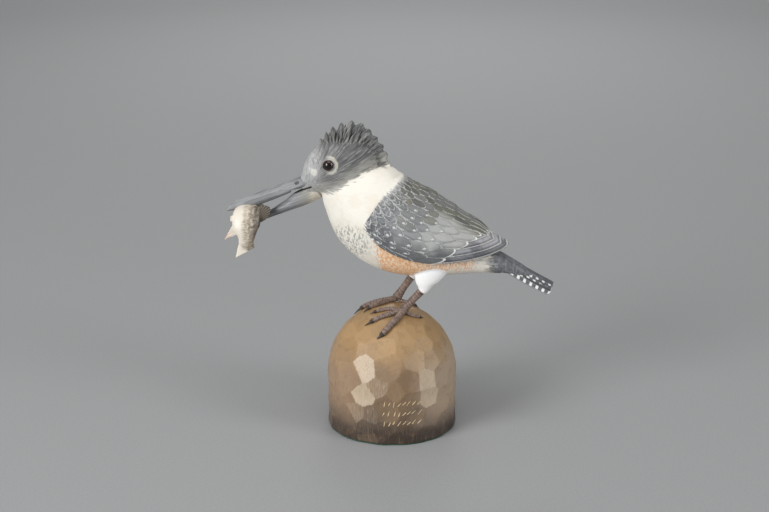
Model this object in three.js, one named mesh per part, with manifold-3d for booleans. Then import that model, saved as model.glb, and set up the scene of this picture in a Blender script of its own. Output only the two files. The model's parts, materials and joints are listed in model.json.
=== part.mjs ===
// Kingfisher carving: a painted wooden kingfisher with a small fish crosswise in its open bill. It stands
// on two carved legs on a rock of wood, dressed with a knife into flat cuts, with a felt pad underneath.
// Units are millimetres. +Z is up, -X is where the bill points and -Y is the bird's left side.
// The origin is where the middle of the felt pad meets the ground.

import * as THREE from "three";
import { mergeVertices } from "three/addons/utils/BufferGeometryUtils.js";
import Module from "manifold-3d";

const wasm = await Module();
wasm.setup();

// Driving dimensions
const GAP = 0.3; // left between pieces that touch
const FELT_THICKNESS = 1.5;
const FELT_INSET = 0.3; // the pad stops short of the rock's edge
const ROCK_RADIUS = 60.5;
const ROCK_SHOULDER = 50; // height where the side turns into the dome
const ROCK_HEIGHT = 116;
const ROCK_DOME_POWER = 2.05; // 2 is an ellipse, more is squarer
const ROCK_FOOT_TUCK = 0.008; // how much narrower the rock is at its foot
const EYE_RADIUS = 6;
const EYE = new THREE.Vector3(-56.9, -14.8, 254.6); // the left eye's middle
const LID_RADIUS = 5.7;
const LID_THICKNESS = 1.2;
const LID_OUT = 3.8; // how far the lid's ring stands outside the eye's middle
const LID_TURN = 0.12; // radians by which the lids face forward
const LEG_RADIUS = 3.9;
const WING_THICKNESS = 3.2;
const HALF_SPAN = 60; // half the width of a cutting outline, past the bird on both sides

const AXIS_X = new THREE.Vector3(1, 0, 0);
const AXIS_Y = new THREE.Vector3(0, 1, 0);

// Materials
const paint = (color, roughness = 0.6) => new THREE.MeshStandardMaterial({ color, roughness });
const BIRD_PAINT = paint("#80858a");
const ROCK_PAINT = paint("#a58c6c");
const LEG_PAINT = paint("#5c4740");
const FISH_PAINT = paint("#d3ccb9");
const EYE_GLASS = paint("#26130c", 0.08);
const FELT = paint("#2f5a42", 0.95);

// A closed geometry as a solid that can be joined and cut.
function solidOf(geometry) {
  const bare = geometry.clone();
  bare.deleteAttribute("normal");
  bare.deleteAttribute("uv");
  const merged = mergeVertices(bare, 1e-4);
  return new wasm.Manifold(
    new wasm.Mesh({
      numProp: 3,
      vertProperties: merged.attributes.position.array,
      triVerts: new Uint32Array(merged.index.array),
    }),
  );
}

function meshOf(name, solid, material) {
  const { numProp, numVert, vertProperties, triVerts } = solid.getMesh();
  const positions = new Float32Array(numVert * 3);
  for (let i = 0; i < numVert; i++) {
    positions.set(vertProperties.subarray(i * numProp, i * numProp + 3), i * 3);
  }
  const geometry = new THREE.BufferGeometry();
  geometry.setAttribute("position", new THREE.BufferAttribute(positions, 3));
  geometry.setIndex(new THREE.BufferAttribute(triVerts, 1));
  const mesh = new THREE.Mesh(geometry, material);
  mesh.name = name;
  return mesh;
}

const join = (...solids) => solids.reduce((all, solid) => all.add(solid));

// A number from 0 to 1 that is always the same for the same index, for cuts that look hand-made.
function scatter(index, salt) {
  const wave = Math.sin(index * 12.9898 + salt * 78.233) * 43758.5453;
  return wave - Math.floor(wave);
}

// A carved limb: oval sections along a smooth path. Each row is one section's middle x, y, z, its reach
// up and down, and its half width. A section's width lies along `across`, and `grow` swells it all over.
function loft(rows, { sides = 16, steps = 3, across = AXIS_Y, power = 2, grow = 0 } = {}) {
  const vectors = (pick) => rows.map((row) => new THREE.Vector3(...pick(row)));
  const path = new THREE.CatmullRomCurve3(vectors((row) => row.slice(0, 3)));
  const sizes = new THREE.CatmullRomCurve3(vectors((row) => row.slice(3)), false, "catmullrom", 0.5);
  const rings = (rows.length - 1) * steps;
  const positions = [];
  const rounded = (value) => Math.sign(value) * Math.abs(value) ** (2 / power);
  for (let ring = 0; ring <= rings; ring++) {
    const middle = path.getPoint(ring / rings);
    const along = path.getTangent(ring / rings);
    const size = sizes.getPoint(ring / rings).addScalar(grow);
    const right = across.clone().addScaledVector(along, -across.dot(along)).normalize();
    const up = along.clone().cross(right);
    for (let k = 0; k < sides; k++) {
      const angle = (2 * Math.PI * k) / sides;
      const rise = rounded(Math.sin(angle));
      const point = middle
        .clone()
        .addScaledVector(right, size.z * rounded(Math.cos(angle)))
        .addScaledVector(up, rise * (rise > 0 ? size.x : size.y));
      positions.push(...point.toArray());
    }
  }
  const first = positions.length / 3;
  positions.push(...path.getPoint(0).toArray(), ...path.getPoint(1).toArray());
  const faces = [];
  for (let k = 0; k < sides; k++) {
    const next = (k + 1) % sides;
    faces.push(first, next, k, first + 1, rings * sides + k, rings * sides + next);
    for (let ring = 0; ring < rings; ring++) {
      const here = ring * sides;
      const there = here + sides;
      faces.push(here + k, here + next, there + k, here + next, there + next, there + k);
    }
  }
  const geometry = new THREE.BufferGeometry();
  geometry.setAttribute("position", new THREE.Float32BufferAttribute(positions, 3));
  geometry.setIndex(faces);
  return solidOf(geometry);
}

// A plate with an outline drawn in the side view, x and z, and its faces at y = from and y = to.
function sidePlate(shape, from, to, curveSegments = 6) {
  const settings = { depth: to - from, bevelEnabled: false, curveSegments };
  const geometry = new THREE.ExtrudeGeometry(shape, settings);
  geometry.rotateX(Math.PI / 2);
  geometry.translate(0, to, 0);
  return solidOf(geometry);
}

// The rock

// The rock's outline before it is cut: the radius at a height, and how far its surface faces up there.
function rockProfile(height) {
  if (height <= ROCK_SHOULDER) {
    const down = (ROCK_SHOULDER - height) / ROCK_SHOULDER;
    const lean = (-2 * ROCK_FOOT_TUCK * ROCK_RADIUS * down) / ROCK_SHOULDER;
    return { radius: ROCK_RADIUS * (1 - ROCK_FOOT_TUCK * down ** 2), lean };
  }
  const rise = (height - ROCK_SHOULDER) / (ROCK_HEIGHT - ROCK_SHOULDER);
  const radius = ROCK_RADIUS * (1 - rise ** ROCK_DOME_POWER) ** (1 / ROCK_DOME_POWER);
  const steepness = (rise / (radius / ROCK_RADIUS)) ** (ROCK_DOME_POWER - 1);
  return { radius, lean: Math.atan((steepness * ROCK_RADIUS) / (ROCK_HEIGHT - ROCK_SHOULDER)) };
}

// The height of the uncut rock above this x and y.
function domeHeight(x, y) {
  const share = Math.min(1, Math.hypot(x, y) / ROCK_RADIUS);
  const rise = (1 - share ** ROCK_DOME_POWER) ** (1 / ROCK_DOME_POWER);
  return ROCK_SHOULDER + (ROCK_HEIGHT - ROCK_SHOULDER) * rise;
}

// Knife cuts cover the rock in a spiral, like seeds in a cone, each a little out of true.
const SPIRAL_CUTS = 54;
const SPIRAL_TURN = Math.PI * (3 - Math.sqrt(5));
const SPIRAL_FOOT = 5; // height of the lowest cut
const CUT_DEPTH = 0.8;
const CUT_DEPTH_SPREAD = 0.8;
const CUT_LEAN_SPREAD = 3; // degrees
// The cuts that show most on the front: degrees round from the front, height, extra lean and depth.
const FRONT_CUTS = [
  { turn: -26, height: 77, lean: 0, depth: 1.1 },
  { turn: -29, height: 47, lean: 4, depth: 1.1 },
  { turn: -13, height: 57, lean: -1, depth: 0.8 },
  { turn: -29, height: 25, lean: -5, depth: 1.2 },
  { turn: 36, height: 54, lean: 1, depth: 1.1 },
  { turn: 38, height: 93, lean: 0, depth: 1.1 },
  { turn: 6, height: 31, lean: -1, depth: 1.3 },
  { turn: 28, height: 12, lean: -3, depth: 2.6 },
];
const CUT_CLEARANCE = 16; // a spiral cut nearer than this to a front cut is left out

// The cut whose middle is at this turn, in degrees, and height.
function knifeCut({ turn, height, lean, depth }) {
  const profile = rockProfile(height);
  const azimuth = THREE.MathUtils.degToRad(turn);
  const tilt = profile.lean + THREE.MathUtils.degToRad(lean);
  const outward = new THREE.Vector3(Math.sin(azimuth), -Math.cos(azimuth), 0);
  const normal = outward.clone().multiplyScalar(Math.cos(tilt)).setZ(Math.sin(tilt));
  const middle = outward.clone().multiplyScalar(profile.radius).setZ(height);
  return { normal, middle, distance: normal.dot(middle) - depth };
}

function cutsAllRound() {
  const cuts = FRONT_CUTS.map(knifeCut);
  for (let k = 0; k < SPIRAL_CUTS; k++) {
    const cut = knifeCut({
      turn: THREE.MathUtils.radToDeg(k * SPIRAL_TURN),
      height: SPIRAL_FOOT + ((ROCK_HEIGHT - SPIRAL_FOOT) * (k + 0.5)) / SPIRAL_CUTS,
      lean: CUT_LEAN_SPREAD * (2 * scatter(k, 1) - 1),
      depth: CUT_DEPTH + CUT_DEPTH_SPREAD * scatter(k, 2),
    });
    const front = cuts.slice(0, FRONT_CUTS.length);
    if (front.every((one) => one.middle.distanceTo(cut.middle) > CUT_CLEARANCE)) cuts.push(cut);
  }
  return cuts;
}

const KNIFE_CUTS = cutsAllRound();

// The height of the rock's top, as cut, above this x and y.
function rockTop(x, y) {
  const upward = KNIFE_CUTS.filter(({ normal }) => normal.z > 0.05);
  const heights = upward.map(({ normal, distance }) => (distance - normal.x * x - normal.y * y) / normal.z);
  return Math.min(domeHeight(x, y), ...heights);
}

const ROCK_SIDES = 20;
const SIDE_RINGS = 2; // below the shoulder
const DOME_RINGS = 5; // above it

// The rock as its knife cuts leave it, from height `from` up, swollen all over by `grow`.
function rockSolid(from, grow = 0) {
  const outline = [new THREE.Vector2(0, from)];
  for (let k = 0; k < SIDE_RINGS; k++) {
    const height = THREE.MathUtils.lerp(from, ROCK_SHOULDER, k / SIDE_RINGS);
    outline.push(new THREE.Vector2(rockProfile(height).radius + grow, height));
  }
  for (let k = 0; k < DOME_RINGS; k++) {
    const angle = (k / DOME_RINGS) * (Math.PI / 2);
    const height = ROCK_SHOULDER + (ROCK_HEIGHT - ROCK_SHOULDER) * Math.sin(angle) ** (2 / ROCK_DOME_POWER);
    const { radius, lean } = rockProfile(height);
    outline.push(new THREE.Vector2(radius + grow * Math.cos(lean), height + grow * Math.sin(lean)));
  }
  outline.push(new THREE.Vector2(0, ROCK_HEIGHT + grow));
  const turned = new THREE.LatheGeometry(outline, ROCK_SIDES);
  turned.rotateX(Math.PI / 2);
  return KNIFE_CUTS.reduce(
    (rock, { normal, distance }) => rock.trimByPlane(normal.clone().negate().toArray(), -(distance + grow)),
    solidOf(turned),
  );
}

const rock = rockSolid(FELT_THICKNESS + GAP);
const felt = rockSolid(0, -FELT_INSET).trimByPlane([0, 0, -1], -FELT_THICKNESS);

// The bird. Rows are x, y, z, reach up, reach down and half width.

const BODY = [
  [-52, 0, 246, 16, 16, 14],
  [-39, 0, 225, 42, 27, 24],
  [-22, 0, 206, 47, 37, 31.5],
  [0, 0, 189, 46, 38, 34.5],
  [27, 0, 175.5, 41, 31, 32],
  [55, 0, 165, 28, 18.5, 24],
  [80, 0, 158, 12, 10, 13.5],
  [100, 0, 151.5, 5, 3.5, 9],
];

const HEAD = [
  [-84, 0, 229.5, 5, 4, 4],
  [-77, 0, 234, 9, 12, 9],
  [-67.5, 0, 240.5, 19, 21.5, 15],
  [-55, 0, 246, 26, 26.5, 19.5],
  [-40, 0, 251, 24, 28, 19.5],
  [-26, 0, 254.5, 20, 22, 14.5],
  [-14, 0, 256, 8, 8, 6],
];

const UPPER_MANDIBLE = [
  [-151.5, 0, 207.8, 0.9, 0.6, 0.8],
  [-145.5, 0, 209.6, 4.6, 2.2, 2],
  [-138.5, 0, 211.6, 6.4, 3.1, 3],
  [-119, 0, 217.6, 7.6, 3.6, 4.6],
  [-101, 0, 225, 7.4, 3.7, 6.2],
  [-83, 0, 233, 6.4, 3.6, 8.4],
  [-68, 0, 238, 6, 4, 9],
];

const LOWER_MANDIBLE = [
  [-139.5, 0, 190.2, 0.7, 0.7, 0.8],
  [-131, 0, 194.6, 1.4, 1.9, 2],
  [-117.5, 0, 201.6, 1.9, 2.8, 3.4],
  [-97, 0, 212.4, 4.2, 4.8, 5.4],
  [-84, 0, 219.6, 6.6, 6.2, 7.2],
  [-68, 0, 228, 5, 6, 7],
];

// The crest is a fan of feather locks from the middle of the head to a ragged edge.
const CREST_MIDDLE = new THREE.Vector3(-52, 0, 243.7);
const CREST_LOCKS = 11;
const CREST_FRONT_ANGLE = 113; // degrees, above the line that points to the tail
const CREST_BACK_ANGLE = 9;
const CREST_EDGE = [ // angle and reach
  [CREST_BACK_ANGLE, 51],
  [45, 50.5],
  [67, 52.5],
  [90, 43],
  [CREST_FRONT_ANGLE, 34.5],
];
const CREST_NOTCH = 4.5; // how deep the edge is notched between two locks
const CREST_PLATE_HALF = 2;
// On each side a row of shorter locks covers the fan. Its half width at the head and at the tips.
const SIDE_LOCKS = 8;
const SIDE_LOCK_ROOT = 11;
const SIDE_LOCK_TIP = 3;
const SIDE_LOCK_SHARE = 0.92;

function crestReach(angle) {
  const upper = Math.max(1, CREST_EDGE.findIndex(([edge]) => edge >= angle));
  const [fromAngle, fromReach] = CREST_EDGE[upper - 1];
  const [toAngle, toReach] = CREST_EDGE[upper];
  return THREE.MathUtils.mapLinear(angle, fromAngle, toAngle, fromReach, toReach);
}

function crestPoint(angle, reach) {
  const radians = THREE.MathUtils.degToRad(angle);
  const outward = new THREE.Vector3(Math.cos(radians), 0, Math.sin(radians));
  return outward.multiplyScalar(reach).add(CREST_MIDDLE);
}

// The fan itself: a plate whose edge rises to a rounded tip for each lock and dips between two.
function crestFan() {
  const shape = new THREE.Shape();
  shape.moveTo(CREST_MIDDLE.x, CREST_MIDDLE.z);
  const step = (CREST_FRONT_ANGLE - CREST_BACK_ANGLE) / (CREST_LOCKS - 1);
  for (let k = 0; k < CREST_LOCKS; k++) {
    const angle = CREST_BACK_ANGLE + k * step;
    const reach = crestReach(angle);
    for (const [shift, dip] of [[-0.5, CREST_NOTCH], [-0.22, 0.9], [0, 0], [0.22, 0.9]]) {
      const point = crestPoint(angle + shift * step, reach - dip);
      shape.lineTo(point.x, point.z);
    }
  }
  shape.closePath();
  return sidePlate(shape, -CREST_PLATE_HALF, CREST_PLATE_HALF);
}

function crestLock(angle, side) {
  const reach = crestReach(angle) * SIDE_LOCK_SHARE;
  const across = crestPoint(angle + 90, 1).sub(CREST_MIDDLE);
  const row = (part, half, thick) => {
    const middle = crestPoint(angle, reach * part);
    const y = side * THREE.MathUtils.lerp(SIDE_LOCK_ROOT, SIDE_LOCK_TIP, part);
    return [middle.x, y, middle.z, thick, thick, half];
  };
  const rows = [row(0.35, 5, 6), row(0.7, 5.6, 3.6), row(0.92, 4, 1.8), row(1, 1.2, 0.8)];
  return loft(rows, { sides: 6, steps: 1, across });
}

function crest() {
  const locks = [crestFan()];
  const step = (CREST_FRONT_ANGLE - CREST_BACK_ANGLE) / SIDE_LOCKS;
  for (let k = 0; k < SIDE_LOCKS; k++) {
    const angle = CREST_BACK_ANGLE + (k + 0.5) * step;
    locks.push(crestLock(angle, -1), crestLock(angle, 1));
  }
  return join(...locks);
}

// The folded wings lie over the back as one shell, cut to the wings' outline in the side view.
const WINGS = [
  [-24, 0, 206, 44, 33, 29],
  [0, 0, 190, 48.5, 34, 37.2],
  [27, 0, 178, 47.5, 30, 37],
  [55, 0, 174, 38.5, 26, 32],
  [80, 0, 175, 23.5, 20, 23],
  [98, 0, 177, 8.5, 10, 14.5],
  [108, 0, 178.5, 2.5, 4, 9],
];
const WING_POWER = 2.15; // 2 is an oval section, more is squarer
const UPPER_TIER_RISE = 1; // how far the inner wing feathers stand above the long outer ones
const HOLLOW_START = 40; // behind this x the wings stand clear of the rump
const WING_GAP_START = 74; // where the two wings part, over the rump
const WING_GAP_END = 115;
const WING_GAP_HALF = 7.5;
const WING_GAP_FOOT = 150; // the gap is cut from this height up, clear of the tail
const WING_GAP_HEIGHT = 90;

// The wings' outline: the front, which is lost in the shoulder, the lower edge, the tip and the top.
function wingOutline() {
  const shape = new THREE.Shape();
  shape.moveTo(-40, 215);
  shape.lineTo(-30, 208);
  shape.bezierCurveTo(-24, 186, 2, 170, 34, 167.2);
  shape.bezierCurveTo(62, 165.5, 88, 168.5, 100, 173.5);
  shape.quadraticCurveTo(107.5, 176.5, 106, 180);
  shape.quadraticCurveTo(104, 190, 92, 200);
  shape.lineTo(50, 250);
  shape.lineTo(-30, 270);
  shape.closePath();
  return shape;
}

// The upper tier stops at a row of feather tips that runs from the lower edge up and back to the top.
const TIER_LOW = new THREE.Vector2(44, 168);
const TIER_HIGH = new THREE.Vector2(93, 201);
const TIER_TIPS = 6;
const TIER_TIP_BULGE = 4;

function upperTierOutline() {
  const shape = new THREE.Shape();
  shape.moveTo(-40, 215);
  shape.lineTo(-30, 208);
  shape.bezierCurveTo(-22, 186, 6, 171.5, TIER_LOW.x, TIER_LOW.y + 2);
  const tip = TIER_HIGH.clone().sub(TIER_LOW).divideScalar(TIER_TIPS);
  const out = new THREE.Vector2(tip.y, -tip.x).normalize().multiplyScalar(TIER_TIP_BULGE);
  for (let k = 0; k < TIER_TIPS; k++) {
    const end = TIER_LOW.clone().addScaledVector(tip, k + 1);
    const middle = TIER_LOW.clone().addScaledVector(tip, k + 0.35).add(out);
    shape.quadraticCurveTo(middle.x, middle.y, end.x, end.y);
  }
  shape.lineTo(60, 260);
  shape.lineTo(-30, 270);
  shape.closePath();
  return shape;
}

function wings() {
  const form = (grow) => loft(WINGS, { sides: 22, steps: 2, power: WING_POWER, grow });
  const cut = (outline) => sidePlate(outline, -HALF_SPAN, HALF_SPAN, 4);
  const outer = form(0).intersect(cut(wingOutline()));
  const inner = form(UPPER_TIER_RISE).intersect(cut(upperTierOutline()));
  const hollow = loft(WINGS, { sides: 14, steps: 1, power: WING_POWER, grow: -WING_THICKNESS });
  const gap = new THREE.Shape();
  gap.moveTo(WING_GAP_START, 0);
  gap.lineTo(WING_GAP_END, -WING_GAP_HALF);
  gap.lineTo(WING_GAP_END, WING_GAP_HALF);
  gap.closePath();
  const notch = new THREE.ExtrudeGeometry(gap, { depth: WING_GAP_HEIGHT, bevelEnabled: false });
  notch.translate(0, 0, WING_GAP_FOOT);
  return outer.add(inner).subtract(hollow.trimByPlane([1, 0, 0], HOLLOW_START)).subtract(solidOf(notch));
}

// The tail is a closed fan of stiff feathers, the middle ones on top.
const TAIL_ROOT = new THREE.Vector3(84, 0, 160.4);
const TAIL_SLOPE = THREE.MathUtils.degToRad(-24.4);
const TAIL_LENGTH = 71.5;
const TAIL_FEATHERS = 3; // on each side, besides the middle one
const TAIL_FEATHER_HALF = 5.4;
const TAIL_HALF = 12; // from the middle to the outermost feather's shaft, at the tip
const TAIL_FEATHER_THICKNESS = 2.4;
const TAIL_DROP = 0.7; // each feather lies this much lower than the one nearer the middle
const TAIL_ROUNDING = 4; // length of a feather's rounded end
const TAIL_SHORTER = 3; // how much shorter the outermost feather is than the middle one

function tailFeather(index) {
  const away = Math.abs(index) / TAIL_FEATHERS;
  const length = TAIL_LENGTH - TAIL_SHORTER * away;
  const straight = length - TAIL_ROUNDING;
  const feather = new THREE.Shape();
  feather.moveTo(0, -TAIL_FEATHER_HALF * 0.8);
  feather.lineTo(straight, -TAIL_FEATHER_HALF);
  feather.quadraticCurveTo(length, -TAIL_FEATHER_HALF, length, 0);
  feather.quadraticCurveTo(length, TAIL_FEATHER_HALF, straight, TAIL_FEATHER_HALF);
  feather.lineTo(0, TAIL_FEATHER_HALF * 0.8);
  feather.closePath();
  const thickness = { depth: TAIL_FEATHER_THICKNESS, bevelEnabled: false, curveSegments: 2 };
  const plate = new THREE.ExtrudeGeometry(feather, thickness);
  plate.translate(0, 0, -Math.abs(index) * TAIL_DROP - TAIL_FEATHER_THICKNESS / 2);
  plate.rotateZ(Math.atan2((TAIL_HALF * index) / TAIL_FEATHERS, TAIL_LENGTH));
  plate.rotateY(-TAIL_SLOPE);
  plate.translate(...TAIL_ROOT.toArray());
  return solidOf(plate);
}

function tail() {
  const feathers = [];
  for (let index = -TAIL_FEATHERS; index <= TAIL_FEATHERS; index++) feathers.push(tailFeather(index));
  const coverts = loft(
    [
      [70, 0, 162, 14, 10, 13],
      [90, 0, 158.5, 11, 8.5, 12],
      [112, 0, 148.5, 6.4, 4, 11],
      [128, 0, 141, 2.8, 1.6, 9],
      [138, 0, 136.4, 0.5, 0.6, 6],
    ],
    { sides: 14, steps: 2 },
  );
  return join(coverts, ...feathers);
}

// The legs. Where each one leaves its thigh and where its ankle is, in x, y, z.
const LEFT_LEG = { knee: [26.6, -15.5, 134.9], ankle: [10.6, -14, 116.8] };
const RIGHT_LEG = { knee: [17.6, 17, 137.4], ankle: [4.4, 14, 118.6] };
// Each toe's tip and the bend on the way there, in x and y. The height follows the rock.
LEFT_LEG.toes = [
  { bend: [-1, -35], tip: [-13.8, -39.4], width: 3.3 },
  { bend: [-6.5, -22.5], tip: [-25, -24.6], width: 2.8 },
  { bend: [-6, -8.4], tip: [-20.6, -11.2], width: 2.3 },
  { bend: [18, -17], tip: [29, -11.5], width: 2 },
];
RIGHT_LEG.toes = [
  { bend: [-14, 9], tip: [-35, 14], width: 2.9 },
  { bend: [-12, 2], tip: [-26.5, -2], width: 2.7 },
  { bend: [-10, 18], tip: [-27, 22], width: 2.5 },
  { bend: [14, 12], tip: [25, 8], width: 2 },
];
const CLAW_SHARE = 0.76; // where the claw starts along a toe
const TOE_STATIONS = [0, 0.2, 0.4, 0.6, CLAW_SHARE, 0.88, 1];
const TOE_LIFT = 0.72; // height of a toe's middle over the rock, as a share of its half width
const DOME_MIDDLE = new THREE.Vector3(0, 0, ROCK_SHOULDER);

function legAxis({ knee, ankle }) {
  return new THREE.Vector3(...ankle).sub(new THREE.Vector3(...knee)).normalize();
}

function toe({ bend, tip, width }, ankle) {
  const start = new THREE.Vector2(ankle[0], ankle[1]);
  const end = new THREE.Vector2(...tip);
  const path = new THREE.QuadraticBezierCurve(start, new THREE.Vector2(...bend), end);
  const rows = TOE_STATIONS.map((share) => {
    const at = path.getPoint(share);
    const claw = Math.max(0, share - CLAW_SHARE) / (1 - CLAW_SHARE);
    const half = width * (1 - 0.24 * share) * (1 - 0.72 * claw);
    const lift = GAP + half * (share === 0 ? 1.2 : TOE_LIFT);
    const middle = new THREE.Vector3(at.x, at.y, rockTop(at.x, at.y));
    middle.addScaledVector(middle.clone().sub(DOME_MIDDLE).normalize(), lift);
    return [...middle.toArray(), half * 0.85, half * 0.85, half];
  });
  const heading = end.sub(start).normalize();
  return loft(rows, { sides: 6, steps: 1, across: new THREE.Vector3(-heading.y, heading.x, 0) });
}

function leg(limb, rockCut) {
  const { knee, ankle, toes } = limb;
  const shank = loft(
    [
      [...knee, LEG_RADIUS, LEG_RADIUS, LEG_RADIUS * 0.92],
      [...knee.map((k, i) => (k + ankle[i]) / 2), LEG_RADIUS * 0.92, LEG_RADIUS * 0.92, LEG_RADIUS * 0.85],
      [...ankle, LEG_RADIUS * 1.2, LEG_RADIUS * 1.2, LEG_RADIUS * 1.15],
    ],
    { sides: 10, steps: 1 },
  );
  const heel = new THREE.SphereGeometry(LEG_RADIUS * 1.22, 10, 7);
  heel.translate(...ankle);
  return join(shank, solidOf(heel), ...toes.map((one) => toe(one, ankle))).subtract(rockCut);
}

// The feathered thigh: it comes down from the belly and ends just short of the leg.
function thigh(limb, width) {
  const axis = legAxis(limb);
  const end = new THREE.Vector3(...limb.knee).addScaledVector(axis, -GAP);
  const above = end.clone().addScaledVector(axis, -2.5);
  const side = Math.sign(limb.knee[1]);
  const [x, y, z] = end.toArray();
  return loft(
    [
      [x + 10, side * 13, z + 36, 16 * width, 16 * width, 9],
      [x + 7.5, side * 15.5, z + 21, 15 * width, 15 * width, 9],
      [x + 3.4, y, z + 9.5, 9.8 * width, 9.8 * width, 7.4],
      [...above.toArray(), 5, 5, 4.9],
      [x, y, z, 4.3, 4.3, 4.3],
    ],
    { sides: 12, steps: 2 },
  );
}

function eyeSocket(side) {
  const middle = [EYE.x, side * -EYE.y, EYE.z];
  const lid = new THREE.TorusGeometry(LID_RADIUS, LID_THICKNESS, 5, 14);
  lid.rotateX(Math.PI / 2);
  lid.rotateZ(side * LID_TURN);
  lid.translate(middle[0], middle[1] + side * LID_OUT, middle[2]);
  const hole = new THREE.SphereGeometry(EYE_RADIUS + GAP, 12, 7);
  hole.translate(...middle);
  return { lid: solidOf(lid), hole: solidOf(hole) };
}

// The corner of the mouth, a notch that runs back between the mandibles into the head.
function gape() {
  const corner = [[-73.5, 230.6], [-90, 228.6], [-90, 224.5]];
  return sidePlate(new THREE.Shape(corner.map(([x, z]) => new THREE.Vector2(x, z))), -HALF_SPAN, HALF_SPAN);
}

function kingfisher() {
  const sockets = [eyeSocket(-1), eyeSocket(1)];
  const whole = join(
    loft(BODY, { sides: 20, steps: 2, power: 2.05 }),
    loft(HEAD, { sides: 18, steps: 2, power: 2.1 }),
    loft(UPPER_MANDIBLE, { sides: 10, steps: 2, power: 1.6 }),
    loft(LOWER_MANDIBLE, { sides: 10, steps: 2, power: 1.8 }),
    crest(),
    wings(),
    tail(),
    thigh(LEFT_LEG, 1),
    thigh(RIGHT_LEG, 0.9),
    ...sockets.map((socket) => socket.lid),
  );
  return sockets.reduce((bird, socket) => bird.subtract(socket.hole), whole).subtract(gape());
}

function eye(side) {
  const ball = new THREE.SphereGeometry(EYE_RADIUS, 12, 7);
  ball.translate(EYE.x, side * -EYE.y, EYE.z);
  return solidOf(ball);
}

// The fish lies across the bill and hangs down on the near side. Rows run from the snout, on the far
// side, to the root of the tail fin: x, y, z, half thickness outwards and inwards, and half its depth.
const FISH = [
  [-124, 33, 196, 0.8, 0.8, 1.6],
  [-125, 27, 200.4, 3.6, 3.6, 5.6],
  [-127, 14, 206.4, 5.6, 5.4, 9.6],
  [-130, 0, 208.6, 6, 5.8, 12],
  [-131.7, -9.5, 206, 5.8, 5.2, 13],
  [-132.6, -15.5, 197, 5.4, 5.2, 12.2],
  [-132.3, -16.5, 186.5, 4.8, 4.8, 7.6],
  [-133.2, -16.2, 180, 3.4, 3.4, 6.6],
  [-135.4, -16, 175.5, 1.6, 1.6, 5],
];
const FIN_HALF = 0.9;

// A fin is a thin plate in the side view, at the fish's near flank.
function fin(points, y, half = FIN_HALF) {
  const shape = new THREE.Shape(points.map(([x, z]) => new THREE.Vector2(x, z)));
  return sidePlate(shape, y - half, y + half);
}

function dorsalFin() {
  const shape = new THREE.Shape();
  shape.moveTo(-122, 213.5);
  shape.quadraticCurveTo(-114, 217, -110.6, 213);
  shape.quadraticCurveTo(-109, 207.5, -115, 202);
  shape.lineTo(-122, 198);
  shape.closePath();
  return sidePlate(shape, -12, -9.4, 3);
}

function fish() {
  const bill = join(
    loft(UPPER_MANDIBLE, { sides: 10, steps: 2, power: 1.6, grow: GAP }),
    loft(LOWER_MANDIBLE, { sides: 10, steps: 2, power: 1.8, grow: GAP }),
  );
  const body = loft(FISH, { sides: 12, steps: 2, across: AXIS_X });
  const tail = [[-139.6, 180], [-126.8, 182], [-125, 177.4], [-133, 172.6], [-142.8, 167.4]];
  const tailFin = fin(tail, -16, 1.3);
  const ventralFin = fin([[-143, 201], [-146.6, 195], [-152.4, 184.2], [-138, 190.4]], -15);
  const breastFin = fin([[-140, 208], [-146.4, 206], [-147, 201.4], [-140, 200]], -13);
  return join(body, tailFin, ventralFin, breastFin, dorsalFin()).subtract(bill);
}

const rockCut = rockSolid(0, GAP);
const carving = new THREE.Group();
carving.name = "kingfisher_carving";
carving.add(
  meshOf("kingfisher", kingfisher(), BIRD_PAINT),
  meshOf("left_eye", eye(-1), EYE_GLASS),
  meshOf("right_eye", eye(1), EYE_GLASS),
  meshOf("fish", fish(), FISH_PAINT),
  meshOf("left_leg", leg(LEFT_LEG, rockCut), LEG_PAINT),
  meshOf("right_leg", leg(RIGHT_LEG, rockCut), LEG_PAINT),
  meshOf("rock_base", rock, ROCK_PAINT),
  meshOf("felt_pad", felt, FELT),
);

export default carving;
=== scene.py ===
# %% [markdown]
# # A painted kingfisher on a knife-cut rock
# The real thing is a block of wood, cut to a bird's outline, rounded with a knife, textured with a small
# gouge and painted. The CAD model already holds its true size and main forms. This notebook makes them
# again, much finer, and does what the carver did last: it cuts the feathers and the rock's flats, and paints.

import json
import math

import bmesh
import bpy
import numpy as np
from mathutils import Matrix, Vector, noise
from mathutils.kdtree import KDTree

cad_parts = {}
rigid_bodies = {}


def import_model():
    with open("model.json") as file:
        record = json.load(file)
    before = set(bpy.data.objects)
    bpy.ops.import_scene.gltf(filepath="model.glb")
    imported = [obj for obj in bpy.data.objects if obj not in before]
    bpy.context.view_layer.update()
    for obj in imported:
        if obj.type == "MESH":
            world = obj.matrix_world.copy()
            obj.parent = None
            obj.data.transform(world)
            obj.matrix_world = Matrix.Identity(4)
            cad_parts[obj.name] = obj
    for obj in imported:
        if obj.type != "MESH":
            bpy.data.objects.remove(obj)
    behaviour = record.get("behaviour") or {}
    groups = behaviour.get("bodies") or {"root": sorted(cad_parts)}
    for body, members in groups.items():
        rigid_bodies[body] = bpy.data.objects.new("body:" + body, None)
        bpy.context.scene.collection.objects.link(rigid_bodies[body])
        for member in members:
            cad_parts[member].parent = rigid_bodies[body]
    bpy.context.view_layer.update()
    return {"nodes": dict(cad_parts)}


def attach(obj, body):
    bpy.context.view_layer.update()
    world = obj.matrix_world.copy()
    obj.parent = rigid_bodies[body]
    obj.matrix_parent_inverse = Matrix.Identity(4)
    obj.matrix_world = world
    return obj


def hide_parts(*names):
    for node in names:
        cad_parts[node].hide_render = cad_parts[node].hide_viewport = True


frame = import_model()
print("CAD nodes:", ", ".join(sorted(frame["nodes"])))

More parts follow.
